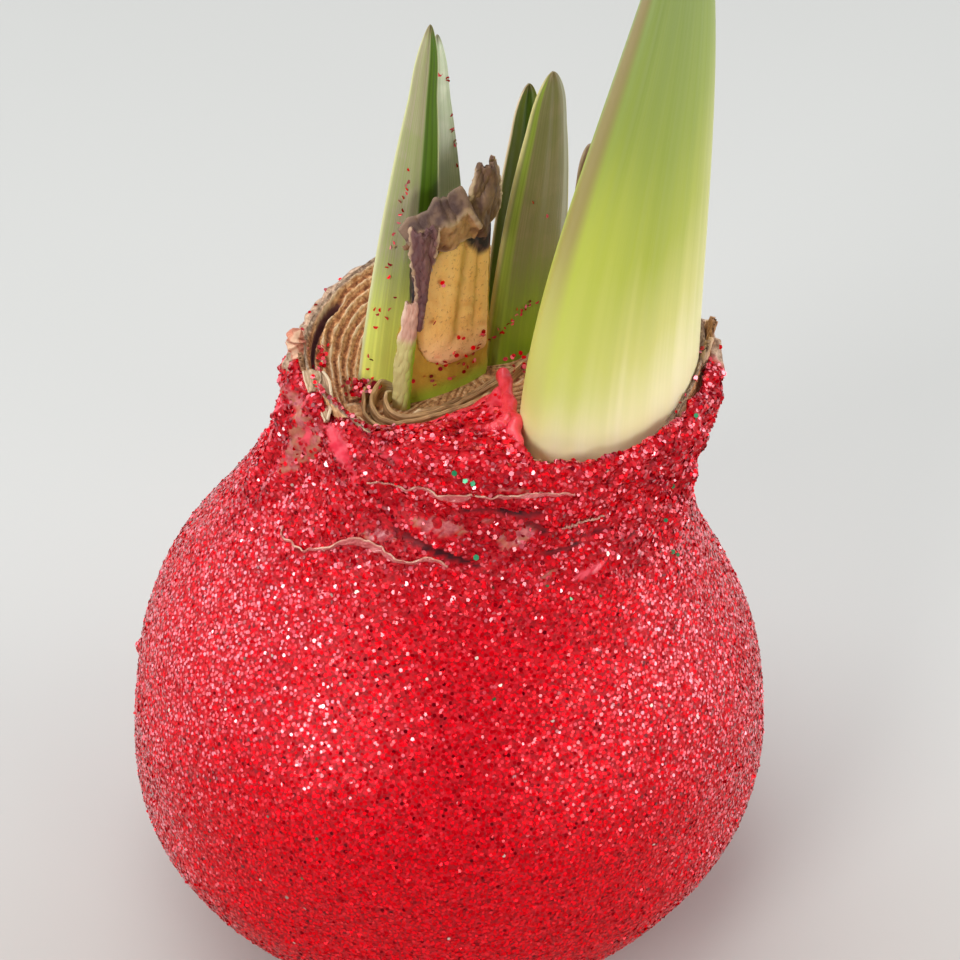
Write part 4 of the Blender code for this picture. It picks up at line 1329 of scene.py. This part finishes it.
# %% Spathe
def bud_recipe(w):
    """Cream at the foot, lime and then deep green up it, with veins, a right side made pale as a painted
    highlight, and a tinted keel.
    """
    across, along, _ = w.pattern()
    streak = use(w, STREAKS, count=20.0, run=0.9)
    wander = w.spread(streak["Broad"], 0, 1, -0.03, 0.03, soft=False)
    core = w.spread(across, 1.0, -0.2, -0.05, 0.05, soft=False)
    level = w.calc("ADD", w.calc("ADD", along, wander), core)
    colour = w.ramp(level, [(0.0, (1.0, 0.90, 0.62)), (0.13, (0.90, 0.82, 0.44)), (0.25, (0.68, 0.66, 0.20)),
                            (0.42, (0.42, 0.48, 0.06)), (0.60, (0.30, 0.38, 0.06)), (0.8, (0.25, 0.33, 0.08)),
                            (1.0, (0.24, 0.32, 0.11))])
    veins = w.times(streak["Fine"], 0.13)
    colour = w.mix(veins, colour, w.mix(0.5, colour, (0.66, 0.66, 0.40)))
    # Painted highlight: the right side of the lower bud is paled where the light falls on it
    pale = w.times(w.spread(across, 0.35, 0.95), w.spread(along, 0.75, 0.45))
    colour = w.mix(w.times(pale, 0.45), colour, (0.66, 0.62, 0.30))
    lime = w.times(w.spread(across, -0.15, -0.85), w.spread(along, 0.62, 0.35))
    lime = w.times(lime, w.spread(along, 0.02, 0.16))
    colour = w.mix(w.times(lime, 0.6), colour, (0.56, 0.62, 0.09))
    keel = w.spread(across, -0.93, -1.0)
    tint = w.mix(w.spread(along, 0.20, 0.45), (0.52, 0.50, 0.14), (0.28, 0.18, 0.09))
    colour = w.mix(w.times(keel, w.spread(along, 0.02, 0.15, 0.2, 0.75)), colour, tint)
    seam = w.times(w.spread(w.calc("ABSOLUTE", w.calc("SUBTRACT", across, 0.93)), 0.03, 0.0),
                  w.spread(along, 0.55, 0.75))
    colour = w.mix(w.times(seam, 0.7), colour, (0.08, 0.13, 0.04))
    return {"Base Color": colour, "Roughness": w.spread(streak["Fine"], 0, 1, 0.32, 0.45),
            "Normal": w.bump(streak["Fine"], 0.15, 0.08)}


SPATHE = material("spathe", bud_recipe, deep=0.12, deep_reach=(0.8, 0.9, 0.3), deep_scale=0.002, glint=0.35)
dress(surface("bud_spathe", bud_grid, bud_tones), SPATHE, "flower_bud")

# %% [markdown]
# ## Wax that ran over the neck
#
# In front, the wax ran over the cut scales: an apron of it reaches in to a smooth bead, and one drip stands
# beside the bud. It could be poured as metaballs, but they are hard to hold to a line. Here the apron is a
# patch between two curves, the lip and the bead, and the bead and the drip are rods of changing thickness.

# %% Apron
BEAD_PATH = [(-7.2, -11.3, 101.3), (-5.2, -11.8, 101.6), (-2.6, -11.5, 101.7), (0.4, -10.3, 101.7),
             (3.6, -8.5, 101.7), (6.6, -6.5, 101.8), (8.8, -4.6, 102.2), (10.0, -3.0, 103.0)]
APRON_END = [(10.6, -6.0, 102.8), (11.4, -12.0, 102.6), (12.1, -18.0, 102.0)]
APRON_THICKNESS = 1.0


def wax_apron(rows=50, cols=90):
    """Patch from the lip (v = 0) to the bead and on to the drip (v = 1), raised by sin(pi v) and lumpy.

    Its inner edge was left smooth by the glitter, so a ragged band of it is bare wax.
    """
    u, v = sheet_grid(rows, cols, 0.0)
    lip = coat_at(228.0 + 50.0 * u, 0.985, -0.2)
    inner = curve_through(BEAD_PATH + APRON_END, cols)[None]
    points = lip + (inner - lip) * v[..., None]
    points[..., 2] += 0.35 * np.sin(np.pi * v) + 0.22 * waves(u * 200, v * 12, 101, (4, 16), (3, 9), 16)
    ragged = 0.10 * waves(u * 300, v * 20, 102, (6, 40), (3, 12), 16)
    return points, smooth((v + ragged - 0.52) / 0.14)


apron, apron_bare = wax_apron()
dress(slab("wax_apron", apron, APRON_THICKNESS, (apron_bare, 0, 0)), GLITTER_WAX)


# %% Bead and drip
def smooth_wax_recipe(w):
    """Salmon red wax, a little cloudy and a little uneven."""
    grain = use(w, GRAIN, scale=500.0)
    return {"Base Color": w.mix(grain["Value"], (0.66, 0.012, 0.03), (0.84, 0.055, 0.085)),
            "Roughness": w.spread(grain["Blotch"], 0, 1, 0.25, 0.4),
            "Normal": w.bump(grain["Value"], 0.3, 0.2)}


SMOOTH_WAX = material("smooth_wax", smooth_wax_recipe, coat=0.3,
                      deep=0.15, deep_scale=0.001, deep_reach=(1.0, 0.2, 0.1))

# Each run of wax has its path and its radii, and is lumpy by a share of its radius
WAX_RUNS = {
    "wax_bead": dict(path=BEAD_PATH, radii=(0.3, 0.45, 0.55, 0.6, 0.75, 0.85, 0.8, 0.5),
                     rows=90, around=20, lump=0.12, seed=103),
    "wax_drip": dict(path=[(12.3, -18.6, 100.8), (11.9, -16.4, 102.2), (11.3, -13.2, 103.0),
                           (10.8, -9.6, 103.5), (10.4, -6.2, 103.9), (10.1, -3.6, 104.1), (9.9, -1.4, 104.0)],
                     radii=(0.3, 0.7, 1.35, 1.2, 0.95, 1.05, 1.5), rows=90, around=22, lump=0.16, seed=105),
    "wax_drip_arm": dict(path=[(11.2, -11.2, 103.6), (9.6, -13.0, 103.7), (8.0, -13.8, 103.4),
                               (6.4, -13.4, 102.9)],
                         radii=(1.1, 0.95, 0.8, 0.4), rows=40, around=18, lump=0.16, seed=106),
    "wax_drip_foot": dict(path=[(10.6, -12.0, 103.3), (9.8, -10.2, 103.2), (8.8, -9.2, 102.9),
                                (7.6, -8.8, 102.5)],
                          radii=(1.0, 0.8, 0.7, 0.35), rows=40, around=18, lump=0.16, seed=107),
}
for run_name, run_shape in WAX_RUNS.items():
    dress(rod(run_name, **run_shape), SMOOTH_WAX)

# %% [markdown]
# ## Single dry scales
#
# Some scales stand apart from the rings: four hooks curl round the withered leaf's foot, tips stand up at
# the left and right of the rim, and two crumpled flaps and a tab bend over at its left. A real one is a
# paper-thin sheet, which could be a plane with a thickness added later. Here each is a slab on a path, so
# that its foot follows the neck and its edge can be ragged. The short tab is rolled up, so it is a rod.

# %% Hooks
# Each has its plan from end to end, the height of its edge and its thickness
HOOKS = {
    "rim_hook": ([(-7.6, 2.4), (-9.8, -0.2), (-10.5, -4.2), (-9.7, -8.6), (-7.2, -11.0), (-3.4, -10.9),
                  (0.2, -9.6)], 101.5, 0.6),
    "outer_hook": ([(-6.3, 1.0), (-8.4, -0.6), (-9.2, -4.0), (-8.6, -7.8), (-6.6, -9.8), (-3.4, -9.7),
                    (-0.1, -8.5), (3.4, -6.6), (6.6, -4.4), (9.4, -1.9)], 101.8, 0.75),
    "inner_hook": ([(-6.4, -0.6), (-7.2, -2.2), (-7.2, -4.8), (-6.2, -6.9), (-4.4, -7.9), (-1.4, -7.5),
                    (2.0, -5.8), (5.6, -3.2), (8.6, -0.4), (11.6, 3.6), (14.2, 7.2), (16.6, 9.2)],
                   101.4, 0.70),
    "middle_hook": ([(-3.6, -5.7), (-0.6, -5.4), (2.4, -3.8), (5.4, -1.6), (8.2, 1.4), (10.6, 4.8)],
                    100.6, 0.75),
}
HOOK_FOOT = 98.2
OLIVE_SCALE = dried_material("olive_scale", (0.24, 0.10, 0.03), (0.94, 0.60, 0.30), (0.98, 0.74, 0.46),
                             count=2.0, run=9.0)


def hook(path, top, rows=13, cols=130):
    """Strip standing on a plan curve: the height runs up it, low at its two ends, with a wavy lean."""
    line = curve_through(path, cols)
    u, v = sheet_grid(rows, cols, 0.0)
    ends = np.sqrt(np.clip(np.minimum(u, 1 - u) * 14, 0, 1))
    ragged = 0.10 * v * waves(u * 300, u * 0, 111, (3, 20), (9, 30), 12)
    height = HOOK_FOOT + (top - HOOK_FOOT) * v * (0.45 + 0.55 * ends) + ragged
    ahead = unit(np.gradient(line, axis=0))
    lean = 0.12 * waves(u * 200, v * 8, 112, (2, 9), (6, 20), 10) * v
    x = line[None, :, 0] - ahead[None, :, 1] * lean
    y = line[None, :, 1] + ahead[None, :, 0] * lean
    return np.stack([x, y, height], -1)


for hook_name, (hook_path, hook_top, hook_wide) in HOOKS.items():
    strip = hook(hook_path, hook_top)
    up_strip = np.linspace(0, 1, strip.shape[0])[:, None]
    dress(slab(hook_name, strip, hook_wide * (1.0 - 0.35 * up_strip ** 3)), OLIVE_SCALE)


# %% Standing tips
def scale_tip(angle, spread, foot, top, share, curl, sway=0.0, rows=50, cols=34):
    """Pointed scale on the neck's oval, with u across it from -1 to 1 and v up it.

    Its angle narrows upwards, its height falls off by u^2 and it curls outwards by v^2.
    """
    u, v = sheet_grid(rows, cols)
    ragged = 0.25 * waves(u * 120, v * 0, int(angle) + 7, (2, 12), (9, 30), 10) * v
    turn = np.radians(angle + sway * v * v + spread * u * (1.0 - 0.6 * v))
    height = foot + (top - foot) * v - 2.0 * u * u * v + ragged
    crumple = 0.12 * waves(u * 90, height, int(angle) + 8, (4, 20), (2, 7), 14)
    radius = NECK_RADIUS * share + curl * v * v + 0.35 * (1 - u * u) * v + crumple
    centre_x, centre_y = neck_centre(RIM_HEIGHT)
    x = centre_x + radius * np.cos(turn)
    y = centre_y + radius * OVAL_RATIO * np.sin(turn)
    return np.stack([x, y, height], -1)


TIP_THICKNESS = 0.6
TAN_SCALE = dried_material("tan_scale", (0.34, 0.20, 0.10), (0.66, 0.46, 0.30), (0.84, 0.66, 0.46))
BARK_SCALE = dried_material("bark_scale", (0.26, 0.11, 0.05), (0.62, 0.34, 0.15), (0.78, 0.54, 0.32))
TIPS = {
    "right_tip": (dict(angle=358, spread=13, foot=101, top=109.8, share=0.965, curl=0.9, sway=2), BARK_SCALE),
    "right_flap": (dict(angle=350, spread=9, foot=99.5, top=107.6, share=0.945, curl=0.7, sway=3), TAN_SCALE),
    "left_edge": (dict(angle=189, spread=12, foot=99, top=106.0, share=0.985, curl=0.5), BARK_SCALE),
}
for tip_name, (tip_shape, tip_finish) in TIPS.items():
    dress(slab(tip_name, scale_tip(**tip_shape), TIP_THICKNESS), tip_finish)


# %% Flaps and tab at the left
def torn_flap(first, second, bow, seed, rows=40, cols=30):
    """Sheet stretched between two curves, bowed by sin(pi s) along its normal, with a crumpled face."""
    a, b = curve_through(first, rows)[:, None], curve_through(second, rows)[:, None]
    s, v = sheet_grid(rows, cols, 0.0)
    flat = a + (b - a) * s[..., None]
    push = bow * np.sin(np.pi * s) + 0.06 * waves(s * 90, v * 12, seed, (3, 14), (3, 9), 14)
    return flat + push[..., None] * normals_of(flat)


FLAP_THICKNESS = 0.4
LEFT_FLAPS = {
    "flap_face": dict(first=[(-19.3, -2.2, 104.7), (-18.9, -3.9, 104.3), (-18.2, -5.9, 103.7)],
                      second=[(-16.8, -2.4, 104.8), (-16.7, -4.2, 104.3), (-17.1, -5.7, 103.6)],
                      bow=-0.5, seed=131),
    "flap_wall": dict(first=[(-16.9, -2.6, 104.8), (-17.0, -5.0, 103.4), (-16.8, -7.6, 102.5),
                             (-15.8, -10.6, 102.2)],
                      second=[(-16.4, -2.3, 105.0), (-15.3, -4.6, 104.9), (-14.8, -7.8, 104.0),
                              (-15.3, -10.4, 102.4)],
                      bow=0.5, seed=132),
}
for flap_name, flap_shape in LEFT_FLAPS.items():
    dress(slab(flap_name, torn_flap(**flap_shape), FLAP_THICKNESS), TAN_SCALE)

LEFT_TAB = [(-19.7, 2.2, 103.2), (-20.2, 2.9, 104.8), (-20.7, 3.5, 106.0), (-20.5, 3.8, 107.0),
            (-19.9, 4.0, 107.9)]
PINK_SCALE = dried_material("pink_scale", (0.62, 0.16, 0.10), (0.74, 0.38, 0.22), (0.80, 0.52, 0.34))
dress(rod("left_tab", LEFT_TAB, (1.1, 1.35, 1.4, 1.2, 0.7), 50, 22, 0.2, 108), PINK_SCALE)

# %% [markdown]
# Torn tunic shows below the neck, where the skin split under the wax. A crack in the colours alone would have
# no lifted edge, so each tear is a ribbon whose upper edge stands off the wax and whose lower edge is in it.

# %% Torn tunic
# Each has its path as (angle, height), its width at each place and how far its edge stands off the wax
TUNIC_THICKNESS = 0.25
TORN = {
    "torn_edge": dict(path=[(212, 84.0), (214, 83.1), (221.5, 83.0), (229, 85.0), (235, 87.6), (238, 88.0),
                            (243, 87.7), (247.5, 86.9), (252, 86.5), (256, 87.4), (261.5, 86.3)],
                      widths=(0.2, 0.25, 0.3, 0.4, 1.1, 1.3, 1.0, 0.5, 0.4, 0.6, 0.2), free=0.42),
    "brown_strip": dict(path=[(235, 96.9), (243, 97.2), (250, 97.4), (257, 97.1), (265, 97.5), (272, 97.6),
                              (279, 97.9), (288, 97.4)],
                        widths=(0.15, 0.3, 0.5, 0.9, 0.5, 0.8, 0.5, 0.2), free=0.16),
    "right_shred": dict(path=[(287, 92.0), (291, 91.6), (296, 92.0), (300, 91.5)],
                        widths=(0.2, 0.4, 0.4, 0.2), free=0.35),
}


def torn_ribbon(path, widths, free, rows=12, cols=160):
    """Ribbon on the wax: u along its path, v down from it. It lifts off by free * (1 - v)^1.5."""
    line = curve_through([(*spot, wide) for spot, wide in zip(path, widths)], cols)
    u, v = sheet_grid(rows, cols, 0.0)
    wavy = 0.18 * waves(u * 300, u * 0, 121, (4, 30), (9, 30), 14)
    height = line[None, :, 1] + wavy - line[None, :, 2] * v
    lift = free * (1 - v) ** 1.5 + 0.12 + 0.08 * waves(u * 300, v * 8, 122, (6, 40), (3, 9), 14)
    angle = np.broadcast_to(line[None, :, 0], u.shape)
    return coat_at(angle, share_at(angle, height), lift), (smooth((0.22 - v) / 0.2), v, u)


def tunic_recipe(w):
    """Mauve paper with a pale tan edge."""
    edge, _, _ = w.pattern()
    grain = use(w, GRAIN, scale=1100.0)
    paper = w.mix(grain["Value"], (0.46, 0.05, 0.06), (0.64, 0.16, 0.15))
    colour = w.mix(edge, paper, w.mix(grain["Blotch"], (0.56, 0.22, 0.16), (0.76, 0.44, 0.32)))
    return {"Base Color": colour, "Roughness": 0.4, "Normal": w.bump(grain["Value"], 0.4, 0.15)}


TUNIC = material("torn_tunic", tunic_recipe, coat=0.3)
for torn_name, torn_shape in TORN.items():
    torn_grid, torn_tones = torn_ribbon(**torn_shape)
    dress(slab(torn_name, torn_grid, TUNIC_THICKNESS, torn_tones), TUNIC)

# %% [markdown]
# ## Stray glitter
#
# Glitter fell where it was not meant to: over the apron, into the groove, in a heap at a leaf's foot and as
# single specks on the leaves. It could be dropped by a simulation, but most of it lies where the hand shook
# it. So each group is a set of spots on one of the grids above, with random jitter.

# %% Places for stray flakes
def on_grid(grid, rows, cols):
    """Points and outward normals of a grid at fractional rows and columns from 0 to 1."""
    normal = normals_of(grid)
    i = np.clip(np.rint(np.asarray(rows) * (grid.shape[0] - 1)), 0, grid.shape[0] - 1).astype(int)
    j = np.clip(np.rint(np.asarray(cols) * (grid.shape[1] - 1)), 0, grid.shape[1] - 1).astype(int)
    return grid[i, j], normal[i, j]


def leaf_spots(leaf_name, spots, jitter, rng):
    """Specks on the front of a leaf, given as (across from -1 to 1, height in mm, how many)."""
    grid = LEAF_GRIDS[leaf_name][0]
    u, height = np.concatenate([np.repeat([[u, z]], n, 0) for u, z, n in spots]).T
    u = np.clip(u + rng.normal(0, jitter[0], len(u)), -0.97, 0.97)
    height = height + rng.normal(0, jitter[1], len(height))
    rows = np.interp(height, grid[:, 0, 2], np.linspace(0, 1, len(grid)))
    return on_grid(grid, rows, np.arccos(-u) / (2 * np.pi))


def neck_spots(count, angle, share, rng):
    """Specks on the cut top between two angles and two shares of its radius."""
    at, out = rng.uniform(*angle, count), rng.uniform(*share, count)
    here = neck_top(at, out)[0]
    return here + (0, 0, 0.2), np.broadcast_to((0.1, -0.2, 1.0), here.shape)


def heap(count, middle, spread, rng):
    """A little heap: a normal cloud flattened on its carrier."""
    here = np.array(middle) + rng.normal(0, 1, (count, 3)) * np.array(spread)
    return here, np.broadcast_to((0.0, -0.5, 0.8), here.shape)


print("stray flakes lie on grids, on the cut top and in heaps")

# %% Stray flakes
stray_rng = np.random.default_rng(77)
APRON_FLAKES = 760
STUMP_FLAKES = 34

# Specks on the leaves, as (across from -1 to 1, height, how many), and on the stump, as (up, across)
LEFT_SPECKS = [(-0.42, 134, 5), (-0.46, 131, 4), (-0.52, 128, 3), (-0.58, 124.5, 2), (-0.62, 121, 3),
               (-0.74, 113, 4), (-0.45, 112, 2), (-0.80, 107, 2), (-0.72, 102.5, 4), (-0.3, 117, 1)]
RIGHT_SPECKS = [(-0.86, 104, 3), (-0.70, 105.5, 4), (-0.5, 107, 4), (-0.3, 108.2, 5), (-0.12, 109.2, 8),
                (-0.4, 128, 1), (0.2, 124, 1)]
BACK_SPECKS = [(0.80, 145, 2), (0.9, 140, 3), (0.92, 135, 3), (0.3, 147, 1)]
STUMP_SPECKS = [(0.78, 0.38), (0.80, 0.36), (0.64, 0.28), (0.95, 0.4), (0.94, 0.46), (0.97, 0.36),
                (0.5, 0.62), (0.49, 0.66)]

apron_at, apron_out = on_grid(apron, stray_rng.beta(1.0, 1.9, APRON_FLAKES), stray_rng.random(APRON_FLAKES))
STRAYS = [
    (apron_at + apron_out * 0.62, apron_out),
    leaf_spots("leaf_left_front", LEFT_SPECKS, (0.05, 1.1), stray_rng),
    leaf_spots("leaf_right_front", RIGHT_SPECKS, (0.07, 0.35), stray_rng),
    leaf_spots("leaf_left_back", BACK_SPECKS, (0.05, 1.5), stray_rng),
    on_grid(stump_grid + WITHERED_OUT * 1.2, stray_rng.uniform(0.30, 0.44, STUMP_FLAKES),
            stray_rng.beta(3.0, 1.6, STUMP_FLAKES)),
    on_grid(stump_grid + WITHERED_OUT * 1.5, *zip(*STUMP_SPECKS)),
    heap(130, (-10.6, -0.9, 100.9), (0.9, 1.0, 0.45), stray_rng),
    heap(60, (-17.0, 2.6, 103.2), (0.35, 1.8, 0.7), stray_rng),
    heap(60, (-16.6, -3.6, 102.6), (0.4, 1.5, 0.5), stray_rng),
    heap(16, (12.6, 4.6, 101.2), (1.4, 1.8, 0.3), stray_rng),
    neck_spots(260, (198, 246), (0.78, 0.98), stray_rng),
    neck_spots(120, (205, 250), (0.55, 0.85), stray_rng),
    neck_spots(90, (318, 352), (0.82, 0.98), stray_rng),
]
stray_places, stray_ways = (np.concatenate([np.asarray(part[k], float) for part in STRAYS]) for k in (0, 1))
stray_flakes = hexagons("stray_glitter", stray_places, stray_ways, size=0.36, tilt=0.45, seed=78, gloss_and_painted_sheen=1.0)
dress(stray_flakes, FOIL)

# %% Green flakes
# A few green flakes got in among the red ones, at (angle, height)
GREEN_SPOTS = [(257, 100.9), (260, 99.8), (262, 99.5), (330, 101.6), (268, 87.2), (330, 84), (328, 90),
               (333, 78), (331, 79)]


def green_recipe(w):
    """Green foil, from deep to bright."""
    shade, _, _ = w.split(w.attribute("tone"))
    return {"Base Color": w.mix(shade, (0.01, 0.22, 0.08), (0.08, 0.60, 0.28))}


green_angle, green_height = np.array(GREEN_SPOTS, float).T
GREEN_FOIL = material("green_foil", green_recipe, metal=0.4, rough=0.3, coat=0.8)
green_place = coat_at(green_angle, share_at(green_angle, green_height), 0.35)
green_way = np.broadcast_to((0.0, -0.7, 0.6), green_place.shape)
green_flakes = hexagons("green_glitter", green_place, green_way, size=0.42, tilt=0.25, seed=79)
dress(green_flakes, GREEN_FOIL)

# %% [markdown]
# ## Stage, light and camera
#
# A pale floor and a bright even sky stand in for a light tent round the bulb. They alone would leave the foil
# flat, so two window-like lights in front, left and right, give its two fields of sparkle. A panel at each
# side brightens the edges, one above lights the neck, and a faint one fills in from low in front. The camera
# looks down at forty degrees, as from a chair at a table.

# %% Floor
def floor_recipe(w):
    """Pale grey card, painted darker and warmer towards the viewer as shade and reddish bounce light from the
    bulb.
    """
    cloud = w.noise(w.place(), 3.0, 3.0)
    card = w.mix(cloud, (0.51, 0.515, 0.50), (0.55, 0.555, 0.54))
    _, away, _ = w.split(w.place())
    # Painted shade: the card is darker and warmer in front of the bulb, as its soft shadow and its reddish
    # bounce light
    painted_shade_near = w.spread(away, 0.06, -0.14)
    return {"Base Color": w.mix(painted_shade_near, card, (0.43, 0.385, 0.35)), "Roughness": 0.8}


FLOOR_SIZE = 6.0
bpy.ops.mesh.primitive_plane_add(size=FLOOR_SIZE, location=(0, 0, 0))
floor = bpy.context.object
floor.name = "floor"
floor.data.materials.append(material("pale_card", floor_recipe))
print("floor of", FLOOR_SIZE, "m")

# %% Camera
TARGET = np.array([6.5, 0.0, 82.35]) * MM
CAMERA_DISTANCE = 0.310
CAMERA_ELEVATION = 40.0
FIELD_OF_VIEW = 26.76


def aim(item, place, target):
    """Put an object at a place and turn its -Z axis to a target."""
    item.location = Vector(place)
    item.rotation_euler = (Vector(target) - Vector(place)).to_track_quat("-Z", "Y").to_euler()
    bpy.context.scene.collection.objects.link(item)


lens = bpy.data.cameras.new("camera")
lens.angle = np.radians(FIELD_OF_VIEW)
lens.clip_start = 0.01
camera = bpy.data.objects.new("camera", lens)
rise = np.radians(CAMERA_ELEVATION)
aim(camera, TARGET + CAMERA_DISTANCE * np.array([0, -np.cos(rise), np.sin(rise)]), TARGET)
bpy.context.scene.camera = camera
print("camera at", tuple(round(part, 3) for part in camera.location))

# %% Lights
# Each has its direction from the bulb, its distance and size in metres, and its power in watts
LIGHTS = {
    "window_left": ((-0.55, -0.69, 0.48), 0.8, 0.30, 3.1),
    "window_right": ((0.66, -0.72, 0.20), 0.8, 0.28, 1.4),
    "sky_panel": ((-0.2, 0.1, 1.0), 1.0, 0.9, 5.5),
    "right_panel": ((1.0, -0.05, 0.35), 0.9, 0.7, 3.2),
    "left_panel": ((-1.0, 0.1, 0.35), 0.9, 0.7, 1.2),
    "low_fill": ((0.1, -1.0, 0.10), 0.9, 0.6, 0.15),
}
for light_name, (direction, distance, size, power) in LIGHTS.items():
    lamp = bpy.data.lights.new(light_name, "AREA")
    lamp.shape = "DISK"
    lamp.size = size
    lamp.energy = power
    way = np.array(direction) / np.linalg.norm(direction)
    aim(bpy.data.objects.new(light_name, lamp), TARGET + way * distance, TARGET)
print("lights:", ", ".join(LIGHTS))

# %% Sky
SKY_STRENGTH = 0.92
SKY_COLOUR = (0.98, 0.99, 1.0)
SHADE_COLOUR = (0.03, 0.03, 0.03)
world = bpy.data.worlds.new("sky")
bpy.context.scene.world = world
world.use_nodes = True
sky = Wiring(world.node_tree)
ray = sky.node("TexCoord").outputs["Generated"]
front = sky.node("VectorMath", {"operation": "DOT_PRODUCT"}, {0: ray, 1: (0.0, -0.95, 0.30)}).outputs["Value"]
tint = sky.mix(sky.spread(front, 0.15, 0.85), SKY_COLOUR, SHADE_COLOUR)
backdrop = world.node_tree.nodes["Background"]
sky.feed(backdrop.inputs["Color"], tint)
sky.feed(backdrop.inputs["Strength"], SKY_STRENGTH)
print("sky at strength", SKY_STRENGTH)
bpy.context.scene.view_settings.view_transform = "Standard"
